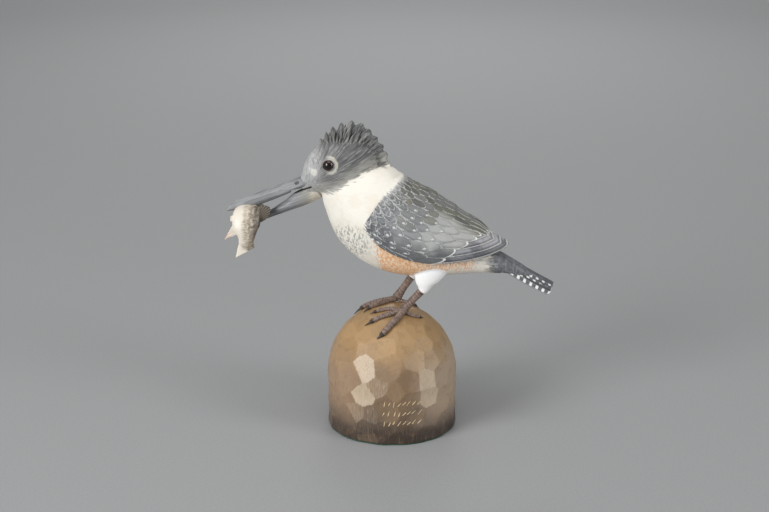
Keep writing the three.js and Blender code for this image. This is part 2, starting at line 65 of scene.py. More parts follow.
# %% [markdown]
# ## Working in millimetres
# A carver measures in millimetres, and Blender works in metres. Every shape below is a list of points in
# millimetres, and one function turns it into a mesh in metres. Numbers for each point, such as how near it
# is to a feather's edge, are stored with the mesh as attributes. A material can read them later, which is
# how the paint knows where it is on the bird.

# %% Meshes from points
MM = 0.001


def new_object(name, data):
    made = bpy.data.objects.new(name, data)
    bpy.context.scene.collection.objects.link(made)
    return made


def mesh_object(name, points, faces):
    """A smooth-shaded object from points in millimetres."""
    mesh = bpy.data.meshes.new(name)
    mesh.from_pydata((np.asarray(points) * MM).tolist(), [], [tuple(face) for face in faces])
    mesh.polygons.foreach_set("use_smooth", [True] * len(mesh.polygons))
    return new_object(name, mesh)


def rows_of(items, field):
    flat = np.zeros(len(items) * 3)
    items.foreach_get(field, flat)
    return flat.reshape(-1, 3)


def points_of(piece):
    return rows_of(piece.data.vertices, "co") / MM


def normals_of(piece):
    return rows_of(piece.data.vertex_normals, "vector")


def move_points(piece, points):
    piece.data.vertices.foreach_set("co", (points * MM).ravel())
    piece.data.update()


def store(piece, name, values):
    """Keeps one number, or one row of three numbers, for each point of a mesh."""
    values = np.asarray(values, float)
    kind, field = ("FLOAT", "value") if values.ndim == 1 else ("FLOAT_VECTOR", "vector")
    attribute = piece.data.attributes.new(name, kind, "POINT")
    attribute.data.foreach_set(field, values.ravel())


def store_all(piece, values_by_name):
    for name, values in values_by_name.items():
        store(piece, name, values)


def count_triangles(piece):
    return sum(len(face.vertices) - 2 for face in piece.data.polygons)


def unit(vectors):
    """The same directions, each of length one."""
    return vectors / np.linalg.norm(vectors, axis=-1, keepdims=True)


def smoothstep(low, high, value):
    share = np.clip((np.asarray(value, float) - low) / (high - low), 0, 1)
    return share * share * (3 - 2 * share)


def ring_faces(rings, sides, first=0, inside_out=False):
    """Faces between closed rings of points that follow one another, from this point on."""
    faces = []
    for ring in range(rings - 1):
        here, there = first + ring * sides, first + (ring + 1) * sides
        for side in range(sides):
            after = (side + 1) % sides
            face = (here + side, here + after, there + after, there + side)
            faces.append(face[:1] + face[:0:-1] if inside_out else face)
    return faces


def flipped(faces):
    return [face[::-1] for face in faces]


def fan_faces(middle, first, sides):
    """Triangles from a middle point to the ring that begins at this point."""
    return [(middle, first + side, first + (side + 1) % sides) for side in range(sides)]


# %% [markdown]
# ## One form for nearly everything: the loft
# Bodies, bills, toes and fish are all limbs: oval sections along a curved middle line. A loft takes a few
# given sections and runs a smooth spline through them. The CAD source uses the same spline, so this fine
# surface lies on the coarse solid. `power` makes a section squarer than an oval when it is over 2, and
# sharper along its top and bottom when it is under 2.

# %% The loft
ACROSS_BIRD = (0, 1, 0)


def spline(knots, share, by_distance):
    """Points on a Catmull-Rom spline. `by_distance` keeps it calm where its knots are unevenly spaced."""
    knots = np.asarray(knots, float)
    last = len(knots) - 1
    place = np.clip(share, 0, 1) * last
    index = np.minimum(place.astype(int), last - 1)
    part = (place - index)[:, None]
    ends = np.vstack([2 * knots[0] - knots[1], knots, 2 * knots[-1] - knots[-2]])
    before, start, end, after = (ends[index + k] for k in range(4))
    if by_distance:
        spans = [np.linalg.norm(b - a, axis=1, keepdims=True) ** 0.5
                 for a, b in ((before, start), (start, end), (end, after))]
        first, middle, final = (np.maximum(span, 1e-4) for span in spans)
        leave = (start - before) / first - (end - before) / (first + middle) + (end - start) / middle
        arrive = (end - start) / middle - (after - start) / (middle + final) + (after - end) / final
        leave, arrive = leave * middle, arrive * middle
    else:
        leave, arrive = (end - before) / 2, (after - start) / 2
    bend = -3 * start + 3 * end - 2 * leave - arrive
    return start + leave * part + bend * part**2 + (2 * start - 2 * end + leave + arrive) * part**3


def loft_points(rows, share, angle, power=2.0, grow=0.0, across=ACROSS_BIRD):
    """Points on a loft at these shares of its length and these angles, 90 degrees being its top."""
    rows, across = np.asarray(rows, float), np.asarray(across, float)
    step = 1e-4
    middle = spline(rows[:, :3], share, True)
    along = spline(rows[:, :3], np.minimum(share + step, 1), True)
    along = unit(along - spline(rows[:, :3], np.maximum(share - step, 0), True))
    size = spline(rows[:, 3:], share, False) + grow
    right = unit(across - along * (along @ across)[:, None])
    up = np.cross(along, right)
    rounded = lambda value: np.sign(value) * np.abs(value) ** (2 / power)
    rise = rounded(np.sin(angle))
    reach = np.where(rise > 0, size[:, 0], size[:, 1])
    sideways = size[:, 2] * rounded(np.cos(angle))
    return middle + right * sideways[:, None] + up * (rise * reach)[:, None]


def loft(rows, sides=64, steps=12, power=2.0, grow=0.0, across=ACROSS_BIRD):
    """A closed loft as points and faces."""
    rings = (len(rows) - 1) * steps + 1
    shares, angles = np.meshgrid(np.linspace(0, 1, rings), np.arange(sides) * 2 * np.pi / sides,
                                 indexing="ij")
    surface = loft_points(rows, shares.ravel(), angles.ravel(), power, grow, across)
    ends = spline(np.asarray(rows, float)[:, :3], np.array([0.0, 1.0]), True)
    faces = ring_faces(rings, sides)
    faces += flipped(fan_faces(len(surface), 0, sides))
    faces += fan_faces(len(surface) + 1, (rings - 1) * sides, sides)
    return np.vstack([surface, ends]), faces


def together(*shapes):
    """Several shapes as one list of points and one list of faces."""
    points, faces, first = [], [], 0
    for shape_points, shape_faces in shapes:
        points.append(np.asarray(shape_points, float))
        faces.extend(tuple(corner + first for corner in face) for face in shape_faces)
        first += len(shape_points)
    return np.vstack(points), faces


# %% [markdown]
# ## Fusing forms as if cut from one block
# A carved bird has no seams where its neck meets its body. Blender's voxel remesh fills the shapes with tiny
# cubes and wraps one even skin around them, and a little smoothing leaves the soft hollows that a gouge
# would. The size of the cubes sets how fine the skin is, so it is chosen for each piece.

# %% Modifiers that become plain mesh


def settle(piece):
    """Turns what the modifiers show into the piece's own mesh, and removes them."""
    graph = bpy.context.evaluated_depsgraph_get()
    finished = bpy.data.meshes.new_from_object(piece.evaluated_get(graph))
    piece.modifiers.clear()
    piece.data = finished
    finished.polygons.foreach_set("use_smooth", [True] * len(finished.polygons))
    return piece


def fuse(name, shapes, voxel, rounds):
    """One skin round several closed shapes, with voxels of this size in millimetres."""
    piece = mesh_object(name, *together(*shapes))
    skin = piece.modifiers.new("skin", "REMESH")
    skin.mode = "VOXEL"
    skin.voxel_size = voxel * MM
    soften = piece.modifiers.new("soften", "SMOOTH")
    soften.factor = 0.5
    soften.iterations = rounds
    return settle(piece)


def cut_away(piece, cutter):
    """Takes the cutter's shape out of a closed piece, and removes the cutter."""
    cut = piece.modifiers.new("cut", "BOOLEAN")
    cut.operation = "DIFFERENCE"
    cut.solver = "MANIFOLD"
    cut.material_mode = "TRANSFER"
    cut.object = cutter
    settle(piece)
    bpy.data.objects.remove(cutter)
    return piece


# %% [markdown]
# ## Paint in coats
# Colours are written as on a screen, as sRGB hex, and one function turns them into the linear light that the
# shaders calculate with. A second small function adds any node, with its settings and its links. Everything
# on this carving is painted in coats, so a third one lays a list of coats over a ground colour. Each coat
# keeps to the edges that it is given, and brush strokes may make an edge ragged.

# %% Colours and coats


def colour(code):
    """An sRGB hex colour as linear red, green, blue and alpha."""
    channels = [int(code[k : k + 2], 16) / 255 for k in (1, 3, 5)]
    return tuple(c / 12.92 if c <= 0.04045 else ((c + 0.055) / 1.055) ** 2.4 for c in channels) + (1.0,)


def add(tree, kind, links=None, out=0, **settings):
    """Adds a node and gives one of its outputs. `links` sets or links its inputs by name or place."""
    made = tree.nodes.new(kind)
    for name, value in settings.items():
        setattr(made, name, value)
    for place, value in (links or {}).items():
        if isinstance(value, bpy.types.NodeSocket):
            tree.links.new(value, made.inputs[place])
        else:
            made.inputs[place].default_value = value
    return made.outputs[out] if len(made.outputs) else made


def start_paint(name, attribute=None):
    """An empty material, its tree, and the place in millimetres, on the object or as the mesh stores it."""
    material = bpy.data.materials.new(name)
    material.use_nodes = True
    tree = material.node_tree
    tree.nodes.clear()
    if attribute:
        return material, tree, add(tree, "ShaderNodeAttribute", out="Vector", attribute_name=attribute)
    place = add(tree, "ShaderNodeTexCoord", out="Object")
    return material, tree, add(tree, "ShaderNodeMapping", {"Vector": place, "Scale": (1 / MM,) * 3})


def brush_noise(tree, place, size, detail=3.0):
    """Noise in strokes or blots of this size: three lengths in millimetres."""
    scaled = add(tree, "ShaderNodeMapping", {"Vector": place, "Scale": tuple(1 / span for span in size)})
    return add(tree, "ShaderNodeTexNoise", {
        "Vector": scaled, "Scale": 1.0, "Detail": detail, "Roughness": 0.6})


def lay_coats(tree, tone, coats):
    """Paints coats over a tone. A coat is a colour, its strength, and the edges that it keeps to.

    An edge is (what, off, on): bare where `what` is at `off`, and full at `on`. `what` is a number stored
    with the mesh, or a pattern. A pattern and a reach after these pull the edge in and out by that reach.
    """
    for paint, share, *edges in coats:
        for what, off, on, *ragged in edges:
            if isinstance(what, str):
                what = add(tree, "ShaderNodeAttribute", out="Fac", attribute_name=what)
            if ragged:
                pattern, reach = ragged
                links = {0: pattern, 1: 2.0 * reach, 2: what}
                what = add(tree, "ShaderNodeMath", links, operation="MULTIPLY_ADD")
                off, on = off + reach, on + reach
            links = {"Value": what, "From Min": off, "From Max": on}
            edge = add(tree, "ShaderNodeMapRange", links, interpolation_type="SMOOTHSTEP")
            share = add(tree, "ShaderNodeMath", {0: edge, 1: share}, operation="MULTIPLY")
        paint = colour(paint) if isinstance(paint, str) else paint
        tone = add(tree, "ShaderNodeMix", {0: share, 6: tone, 7: paint}, out=2, data_type="RGBA")
    return tone


def finish_paint(material, tone, relief, depth, surface):
    """The outermost layer: tool marks this deep in millimetres, and how the surface shines."""
    tree = material.node_tree
    marks = add(tree, "ShaderNodeBump", {"Height": relief, "Strength": 0.7, "Distance": depth * MM})
    surface = {"Base Color": tone, "Normal": marks, "IOR": 1.5, **surface}
    shader = add(tree, "ShaderNodeBsdfPrincipled", surface)
    add(tree, "ShaderNodeOutputMaterial", {"Surface": shader})
    return material


def wear(piece, *materials):
    piece.data.materials.clear()
    for material in materials:
        piece.data.materials.append(material)


# %% [markdown]
# ## Camera, sweep and soft light
# The photograph looks down on the carving by 18 degrees with a long lens. The camera's lens follows from one
# measurement: at the bird, one pixel of the 769 across is 0.92 mm. The floor is a pale disc whose rim curves
# up all round, so every view has the same quiet background. A strong softbox stands on the left and a weak
# one on the right, as the two glints in the bird's eye show. A third fills in from overhead, and a fourth
# brightens the background behind the bird.

# %% Camera
PHOTO_WIDTH = 769
MM_PER_PIXEL = 0.92
CAMERA_DISTANCE = 1600
CAMERA_ELEVATION = math.radians(18)
AIM = Vector((-7.1, 0, 163.7))
SENSOR_WIDTH = 36

camera_data = bpy.data.cameras.new("camera")
camera_data.sensor_width = SENSOR_WIDTH
camera_data.lens = SENSOR_WIDTH * CAMERA_DISTANCE / (PHOTO_WIDTH * MM_PER_PIXEL)
camera = new_object("camera", camera_data)
backwards = Vector((0, -math.cos(CAMERA_ELEVATION), math.sin(CAMERA_ELEVATION)))
camera.location = (AIM + backwards * CAMERA_DISTANCE) * MM
camera.rotation_euler = (math.pi / 2 - CAMERA_ELEVATION, 0, 0)
bpy.context.scene.camera = camera
bpy.context.scene.view_settings.view_transform = "Standard"
print(f"lens {camera_data.lens:.1f} mm")

# %% Floor that curves up all round
FLOOR_FLAT_RADII = (0, 400, 1200, 2300)
FLOOR_CURVE, FLOOR_CURVE_STEPS = 1400, 24
FLOOR_SIDES = 96


def sweep_profile():
    flat = [(radius, 0.0) for radius in FLOOR_FLAT_RADII]
    turns = np.linspace(0, math.pi / 2, FLOOR_CURVE_STEPS)[1:]
    return flat + [(flat[-1][0] + FLOOR_CURVE * math.sin(turn), FLOOR_CURVE * (1 - math.cos(turn)))
                   for turn in turns]


def turned(profile, sides):
    """A form turned round the Z axis from pairs of radius and height. The first pair lies on the axis."""
    points = [(0, 0, profile[0][1])]
    for radius, height in profile[1:]:
        for side in range(sides):
            angle = 2 * math.pi * side / sides
            points.append((radius * math.cos(angle), radius * math.sin(angle), height))
    return points, fan_faces(0, 1, sides) + ring_faces(len(profile) - 1, sides, 1, inside_out=True)


def sweep_paper():
    """Matt background paper: pale grey, with a faint tooth of fibres 2 mm apart."""
    material, tree, place = start_paint("matt_grey_sweep")
    fibres = brush_noise(tree, place, (2, 2, 2))
    tone = lay_coats(tree, colour("#9b9c9d"), [("#a1a2a3", 1.0, (fibres, 0.3, 0.7))])
    return finish_paint(material, tone, fibres, 0.05, {"Roughness": 0.9})


sweep = mesh_object("studio_sweep", *turned(sweep_profile(), FLOOR_SIDES))
wear(sweep, sweep_paper())
print("sweep:", count_triangles(sweep), "triangles")

# %% Softboxes
CARVING_MIDDLE = (0, 0, 150)
SOFTBOXES = [  # azimuth, elevation, distance, width, height, watts, and the place that it looks at
    ("left_softbox", -48, 18, 2600, 1100, 1400, 54, CARVING_MIDDLE),
    ("right_softbox", 60, 18, 2600, 900, 1400, 21, CARVING_MIDDLE),
    ("overhead_softbox", 0, 74, 1700, 1200, 1000, 7, CARVING_MIDDLE),
    ("background_softbox", 180, 80, 1300, 800, 900, 10, (60, 1700, 0)),
]
AIR_BRIGHTNESS = 0.34


def softbox(name, azimuth, elevation, distance, width, height, watts, looks_at):
    """A soft light in this direction from what it looks at, azimuth 0 being the camera's side."""
    light = bpy.data.lights.new(name, "AREA")
    light.shape = "RECTANGLE"
    light.size = width * MM
    light.size_y = height * MM
    light.energy = watts
    lamp = new_object(name, light)
    turn, rise = math.radians(azimuth), math.radians(elevation)
    away = Vector((math.sin(turn) * math.cos(rise), -math.cos(turn) * math.cos(rise), math.sin(rise)))
    lamp.location = (Vector(looks_at) + away * distance) * MM
    lamp.rotation_euler = away.to_track_quat("Z", "Y").to_euler()


for box in SOFTBOXES:
    softbox(*box)
world = bpy.data.worlds.new("studio_air")
world.use_nodes = True
air = world.node_tree.nodes["Background"].inputs
air["Color"].default_value = colour("#ffffff")
air["Strength"].default_value = AIR_BRIGHTNESS
bpy.context.scene.world = world
print("lights:", ", ".join(box[0] for box in SOFTBOXES))

# %% [markdown]
# ## The bird's body
# The body, head, thighs, tail coverts and the fan under the crest are lofts and plates, fused into one skin
# of even quads 0.8 mm across. That is fine enough for the shallow strokes of a gouge, and keeps the piece
# under 200,000 triangles. The wings, the crest's locks, the bill and the tail feathers have edges that must
# stay sharp, so they are meshes of their own, let into this one.

# %% Sections of the body, head, coverts and legs
# Rows are x, y, z, reach up, reach down and half width.
BODY = [
    (-52, 0, 246, 16, 16, 14), (-39, 0, 225, 42, 27, 24),
    (-22, 0, 206, 47, 37, 31.5), (0, 0, 189, 46, 38, 34.5),
    (27, 0, 175.5, 41, 31, 32), (55, 0, 165, 28, 18.5, 24),
    (80, 0, 158, 12, 10, 13.5), (100, 0, 151.5, 5, 3.5, 9),
]
HEAD = [
    (-84, 0, 229.5, 5, 4, 4), (-77, 0, 234, 9, 12, 9),
    (-67.5, 0, 240.5, 19, 21.5, 15), (-55, 0, 246, 26, 26.5, 19.5),
    (-40, 0, 251, 24, 28, 19.5), (-26, 0, 254.5, 20, 22, 14.5),
    (-14, 0, 256, 8, 8, 6),
]
COVERTS = [
    (70, 0, 162, 14, 10, 13), (90, 0, 159.5, 11.4, 9, 13),
    (107, 0, 153.5, 8.4, 5.2, 11.5), (120, 0, 148.5, 5.6, 4, 9),
    (129, 0, 145, 2.6, 2, 6), (134, 0, 143.2, 0.6, 0.6, 3),
]
GAP = 0.3  # between pieces that touch
LEGS = {  # each toe is its bend and its tip as x and y, and its half width
    "left_leg": {
        "knee": (26.6, -15.5, 134.9), "ankle": (10.6, -14, 116.8), "thigh_width": 1.0,
        "toes": [((-1, -35), (-13.8, -39.4), 3.3), ((-6.5, -22.5), (-25, -24.6), 2.8),
                 ((-6, -8.4), (-20.6, -11.2), 2.3), ((18, -17), (29, -11.5), 2.0)],
    },
    "right_leg": {
        "knee": (17.6, 17, 137.4), "ankle": (4.4, 14, 118.6), "thigh_width": 0.9,
        "toes": [((-14, 9), (-35, 14), 2.9), ((-12, 2), (-26.5, -2), 2.7),
                 ((-10, 18), (-27, 22), 2.5), ((14, 12), (25, 8), 2.0)],
    },
}


def thigh_rows(limb):
    """The feathered thigh, from inside the belly to just above the bare leg."""
    knee, ankle = np.array(limb["knee"], float), np.array(limb["ankle"], float)
    axis = unit(ankle - knee)
    x, y, z = knee - axis * GAP
    above = knee - axis * (GAP + 2.5)
    side, width = np.sign(y), limb["thigh_width"]
    return [
        (x + 10, side * 13, z + 36, 16 * width, 16 * width, 9),
        (x + 7.5, side * 15.5, z + 21, 15 * width, 15 * width, 9),
        (x + 3.4, y, z + 9.5, 9.8 * width, 9.8 * width, 7.4),
        (*above, 5, 5, 4.9),
        (x, y, z, 4.3, 4.3, 4.3),
    ]


# %% [markdown]
# ## The crest
# The raised crest is a fan of narrow feathers, swept back from the middle of the head to a ragged edge. A
# thin plate with a notched edge, deepest at the front, fills the middle of the fan as part of the body's
# skin. Over it lie five layers of separate locks on each side, each one a small pointed blade with a ridge,
# the way a carver cuts them with a V tool. Every layer is shorter than the last and stands further out.

# %% The crest's fan
CREST_MIDDLE = np.array([-52, 243.7])  # x and z
CREST_FRONT_ANGLE, CREST_BACK_ANGLE = 113, 9  # degrees above the line that points to the tail
CREST_EDGE_ANGLES = (9, 45, 67, 90, 113)
CREST_EDGE_REACH = (51, 50.5, 52.5, 43, 34.5)
CREST_TIPS = 11
CREST_NOTCH_ANGLES, CREST_NOTCHES = (9, 55, 80, 113), (2.6, 3.2, 4.8, 5.5)
CREST_PLATE_HALF = 1.9


def side_plate(outline, y_from, y_to):
    """A plate whose outline is drawn in the side view, as x and z, between two values of y."""
    count = len(outline)
    points = [(x, y, z) for y in (y_from, y_to) for x, z in outline]
    faces = [tuple(range(count)), tuple(range(2 * count - 1, count - 1, -1))]
    faces += ring_faces(2, count, inside_out=True)
    turn = sum(x0 * z1 - x1 * z0 for (x0, z0), (x1, z1) in zip(outline, [*outline[1:], outline[0]]))
    return points, faces if turn > 0 else flipped(faces)


def crest_reach(angle):
    return np.interp(angle, CREST_EDGE_ANGLES, CREST_EDGE_REACH)


def crest_point(angle, reach):
    """x and z of the point at this angle and reach from the middle of the head."""
    turn = math.radians(angle)
    return CREST_MIDDLE + reach * np.array([math.cos(turn), math.sin(turn)])


def crest_fan():
    step = (CREST_FRONT_ANGLE - CREST_BACK_ANGLE) / (CREST_TIPS - 1)
    outline = [tuple(CREST_MIDDLE)]
    for tip in range(CREST_TIPS):
        angle = CREST_BACK_ANGLE + tip * step
        notch = np.interp(angle, CREST_NOTCH_ANGLES, CREST_NOTCHES)
        for shift, dip in ((-0.5, 1), (-0.2, 0.3), (0, 0), (0.2, 0.3)):
            outline.append(tuple(crest_point(angle + shift * step, crest_reach(angle) - notch * dip)))
    return side_plate(outline, -CREST_PLATE_HALF, CREST_PLATE_HALF)


# %% Eye sockets and the corner of the mouth
EYE_RADIUS = 6.0
EYE = np.array([-56.9, 14.8, 254.6])  # y is the distance from the middle on both sides
LID_RADIUS, LID_THICKNESS, LID_OUT = 5.7, 1.2, 3.8
LID_TURN = 0.12  # how far it faces forwards, in radians
LID_AROUND, LID_SECTION = 48, 12  # points along the ring and round its section


def eyelid(side):
    """A ring round the eye, thin enough to read as a lid."""
    points = []
    for turn in 2 * math.pi / LID_AROUND * np.arange(LID_AROUND):
        for roll in 2 * math.pi / LID_SECTION * np.arange(LID_SECTION):
            radius = LID_RADIUS + LID_THICKNESS * math.cos(roll)
            points.append((radius * math.cos(turn), LID_THICKNESS * math.sin(roll), radius * math.sin(turn)))
    rings = ring_faces(LID_AROUND + 1, LID_SECTION)  # the last ring is the first again
    faces = [tuple(corner % len(points) for corner in face) for face in rings]
    points = np.array(points) @ np.array(Matrix.Rotation(side * LID_TURN, 3, "Z")).T
    return points + np.array([EYE[0], side * (EYE[1] + LID_OUT), EYE[2]]), faces


def sink_eye_socket(points, side):
    """Presses the skin in behind the eye, so that the glass sits in a bowl."""
    socket = EYE_RADIUS + GAP
    middle = EYE * (1, side, 1)
    away = points - middle
    inside = (np.linalg.norm(away, axis=1) < socket) & (points[:, 1] * side > 0)
    depth = np.sqrt(np.maximum(socket**2 - away[:, 0] ** 2 - away[:, 2] ** 2, 0))
    points[inside, 1] = middle[1] - side * depth[inside]


GAPE = [(-73.5, 230.6), (-92, 228.4), (-92, 224.0)]  # the open mouth in the side view
GAPE_HALF = 30  # wider than the bill


def mouth_corner():
    """A wedge that is cut out of the head and of the bill where the mouth opens."""
    return mesh_object("mouth_corner", *side_plate(GAPE, -GAPE_HALF, GAPE_HALF))


# %% Fuse the body
BODY_VOXEL = 0.8
thighs = [loft(thigh_rows(limb)) for limb in LEGS.values()]
bird = fuse(
    "bird_body",
    [
        loft(BODY, power=2.05),
        loft(HEAD, power=2.1),
        loft(COVERTS, power=2.6),
        crest_fan(),
        *thighs,
        *(eyelid(side) for side in (-1, 1)),
    ],
    BODY_VOXEL,
    rounds=5,
)
skin = points_of(bird)
for side in (-1, 1):
    sink_eye_socket(skin, side)
move_points(bird, skin)
cut_away(bird, mouth_corner())
print("body:", count_triangles(bird), "triangles")

# %% [markdown]
# ## Where each coat of paint goes on the body
# Paint on a carving follows the bird's plumage. Each edge between two colours is worked out here once, as a
# distance in millimetres that is stored at every point: positive inside the hood, the belly band or the
# slate back, negative outside. The coats of paint read these numbers. The strokes of the hood all fan out
# from the face, so an angle and a distance from the face are stored too.

# %% Zones of the plumage
FACE = np.array([-76.0, 234.0])  # x and z of the point from which the hood's feathers fan out
HOOD_X = (-90, -80, -70, -64.2, -54.7, -49.3, -44, -38.7, -32, -28, -22.8, -10, 0, 10)
HOOD_Z = (213, 218, 224, 226.9, 228.3, 231.1, 235.3, 240.1, 242.6, 245.3, 248.0, 250.0, 251.3, 262)
MANTLE_Z = (186.6, 194.3, 200.2, 207.7, 212.5, 221, 227.7, 231.5, 238.1, 244)
MANTLE_X = (-15.3, -22.7, -25.5, -25.3, -23.0, -15.5, -9.3, -3.4, 5.1, 16)
LORE_FLECKS = [  # x, z and radius of the pale flecks before the eye
    (-70.4, 247.2, 3.0),
    (-74.4, 249.6, 0.8),
    (-69.2, 257.6, 0.2),
]
MOUTH_LINE = np.array([[-88.0, 224.7], [-73.2, 232.4]])  # the painted end of the mouth, x and z
MOUTH_THINS_FROM = -78  # x, in front of which the painted line gets thinner
HOOD_EDGE_SLANT = 0.85  # a step straight up leads this much further from the hood's slanted edge
BELLY_X, BELLY_TOP = (-12, 75), 192  # the rust band's ends and its upper edge
UNDER_TAIL_X, UNDER_TAIL_Z = (30, 50), (140, 157)  # and the line below which it ends behind the thighs
MANTLE_LOW = 188
RUMP_X, RUMP_LOW = (40, 88), 167  # slate on the back only, and all round behind these two
BREAST_PATCH, BREAST_PARTING = (-39, 184), 6  # middle of the flecked patch, and bare half width between
FLOW_RADIUS = 40  # turns the angle round the face into millimetres


def mantle_depth(points):
    """Distance behind the front edge of the slate back."""
    return points[:, 0] - np.interp(points[:, 2], MANTLE_Z, MANTLE_X)


def face_flow(points):
    """Angle in degrees, and distance in millimetres, from the face in the side view."""
    away = points[:, [0, 2]] - FACE
    return np.degrees(np.arctan2(away[:, 1], away[:, 0])), np.linalg.norm(away, axis=1)


def to_segment(places, start, end):
    """Distance of places in the side view from a straight line between two others."""
    way = end - start
    share = np.clip((places - start) @ way / (way @ way), 0, 1)
    return np.linalg.norm(places - start - share[:, None] * way, axis=1)


def to_mouth(points):
    """Distance from the painted end of the mouth, a line that thins out towards the front."""
    thinner = 0.06 * np.maximum(MOUTH_THINS_FROM - points[:, 0], 0)
    return to_segment(points[:, [0, 2]], *MOUTH_LINE) + thinner


def near_shape(points, shape_points, reach):
    """1 on a shape's surface, falling to 0 at this distance from it."""
    tree = KDTree(len(shape_points))
    for index, point in enumerate(shape_points):
        tree.insert(point, index)
    tree.balance()
    far = np.array([tree.find(point)[2] for point in points])
    return 1 - smoothstep(reach * 0.6, reach, far)


def paint_zones(piece):
    """The plumage zones at every point of a piece, by name."""
    points = points_of(piece)
    x, y, z = points.T
    angle, reach = face_flow(points)
    behind_collar = x - BELLY_X[0] + 0.2 * (z - 170)
    under_tail = z - np.interp(x, UNDER_TAIL_X, UNDER_TAIL_Z)
    from_patch = np.hypot((x - BREAST_PATCH[0]) * 0.9, z - BREAST_PATCH[1])
    flecks = [np.hypot(x - fx, z - fz) - radius for fx, fz, radius in LORE_FLECKS]
    return {
        "flow": np.stack([np.radians(angle) * FLOW_RADIUS, reach, y], 1),
        "reach": reach,
        "hood": (z - np.interp(x, HOOD_X, HOOD_Z)) * HOOD_EDGE_SLANT,
        "belly": np.minimum.reduce([behind_collar, BELLY_X[1] - x, BELLY_TOP - z, under_tail]),
        "mantle": np.minimum(mantle_depth(points), z - MANTLE_LOW),
        "rump": np.maximum(x - RUMP_X[1], np.minimum(x - RUMP_X[0], z - RUMP_LOW)),
        "breast": from_patch + 30 * (np.abs(y) < BREAST_PARTING),
        "eye_ring": np.hypot(x - EYE[0], z - EYE[2]),
        "behind_eye": x - EYE[0],
        "lore": np.minimum.reduce(flecks),
        "mouth": to_mouth(points),
    }


THIGH_TOP, THIGH_REACH = 160, 2.0  # above this height, or this far from a thigh's loft, none is white
thigh_points = np.vstack([points for points, _ in thighs])
zones = paint_zones(bird)
skin = points_of(bird)
low_enough = skin[:, 2] < THIGH_TOP
zones["thigh"] = np.zeros(len(skin))
zones["thigh"][low_enough] = near_shape(skin[low_enough], thigh_points, THIGH_REACH)
store_all(bird, zones)
print("zones:", ", ".join(zones))

# %% [markdown]
# ## Carving the hood
# Under the paint, the hood is cut all over with short strokes that run with the feathers. The body's skin is
# moved in and out by a noise that is stretched along the stroke, 2.6 mm wide and 15 mm long, and only
# 0.28 mm deep. On the white breast the same strokes are much fainter, as they are on the real carving.

# %% Gouge strokes in the skin
STROKE_WIDTH = 2.6
STROKE_LENGTH = 15
STROKE_OVER_HEAD = 14  # how far a stroke runs on across the top of the head
HOOD_STROKE_DEPTH = 0.28
BREAST_STROKE_DEPTH = 0.07
FACE_RADIUS = 12  # nearer to the face than this, the strokes get no narrower


def stroke_noise(points):
    angle, reach = face_flow(points)
    across = np.maximum(reach, FACE_RADIUS) * np.radians(angle) / STROKE_WIDTH
    places = np.stack([across, reach / STROKE_LENGTH, points[:, 1] / STROKE_OVER_HEAD], 1)
    return np.array([noise.noise(Vector(place)) for place in places])


hood_share = smoothstep(-3, 3, zones["hood"])
clear_of_eye = smoothstep(7, 11, zones["eye_ring"])
stroke_depth = BREAST_STROKE_DEPTH + (HOOD_STROKE_DEPTH - BREAST_STROKE_DEPTH) * hood_share
strokes_here = stroke_noise(skin) * stroke_depth * clear_of_eye
move_points(bird, skin + normals_of(bird) * strokes_here[:, None])
print(f"strokes up to {np.abs(strokes_here).max():.2f} mm deep")

# %% Locks of the crest
LOCK_LAYERS = [  # locks, share of the reach, half width, y at the root and at the tip, turn of the layer
    (11, 1.0, 2.8, 6.5, 1.2, 0.0),
    (17, 0.94, 1.9, 8.5, 2.4, 0.5),
    (20, 0.84, 1.8, 11.0, 4.4, 0.0),
    (19, 0.72, 1.7, 13.0, 6.8, 0.5),
    (16, 0.58, 1.8, 15.0, 9.6, 0.0),
]
LOCK_ROOT_SHARE = 0.26
LOCK_THICKNESS = 1.2
LOCK_PARTS = (  # share of the length, of the half width, and of the thickness
    (0, 0.7, 1.3), (0.3, 1.0, 1.2), (0.6, 0.9, 0.9), (0.82, 0.52, 0.6), (1.0, 0.03, 0.15))


def crest_lock(angle, side, share, half, root, tip):
    """One pointed feather of the crest, with a ridge along it."""
    reach = crest_reach(angle) * share
    lean = math.radians(angle + 90)
    rows = []
    for part, width, depth in LOCK_PARTS:
        x, z = crest_point(angle, reach * (LOCK_ROOT_SHARE + (1 - LOCK_ROOT_SHARE) * part))
        y = side * (root + (tip - root) * part**0.8)
        thick = LOCK_THICKNESS * depth
        rows.append((x, y, z, thick, thick, half * width))
    return loft(rows, sides=12, steps=4, power=1.4, across=(math.cos(lean), 0, math.sin(lean)))


def crest_locks():
    shapes = []
    for locks, share, half, root, tip, shift in LOCK_LAYERS:
        step = (CREST_FRONT_ANGLE - CREST_BACK_ANGLE) / (locks - 1)
        for lock in range(locks):
            for side in (-1, 1):
                # the longest locks end in the plate's tips, and the others wander a little
                jitter = noise.noise(Vector((lock * 3.7, side * 5.1, share * 9))) if share < 1 else 0
                angle = CREST_BACK_ANGLE + (lock + shift + 0.35 * jitter) * step
                angle = min(max(angle, CREST_BACK_ANGLE), CREST_FRONT_ANGLE)
                shapes.append(crest_lock(angle, side, share * (1 - 0.1 * abs(jitter)), half, root, tip))
    return shapes


crest = mesh_object("crest_locks", *together(*crest_locks()))
DEEP_IN_HOOD = 10.0
store_all(crest, paint_zones(crest) | {"hood": np.full(len(crest.data.vertices), DEEP_IN_HOOD)})
print("crest:", count_triangles(crest), "triangles")

# %% [markdown]
# ## The folded wings
# The wings lie over the back as one shell, so they are one grid bent over a loft. Each half runs from the
# middle of the back down to the wing's lower edge, and from the shoulder to the wing tip. A point's share of
# the way down, and of the way back, is then all it takes to lay out feathers. The lower and rear edges
# follow the wing's outline as seen from the side, and are rounded over like a carved edge.

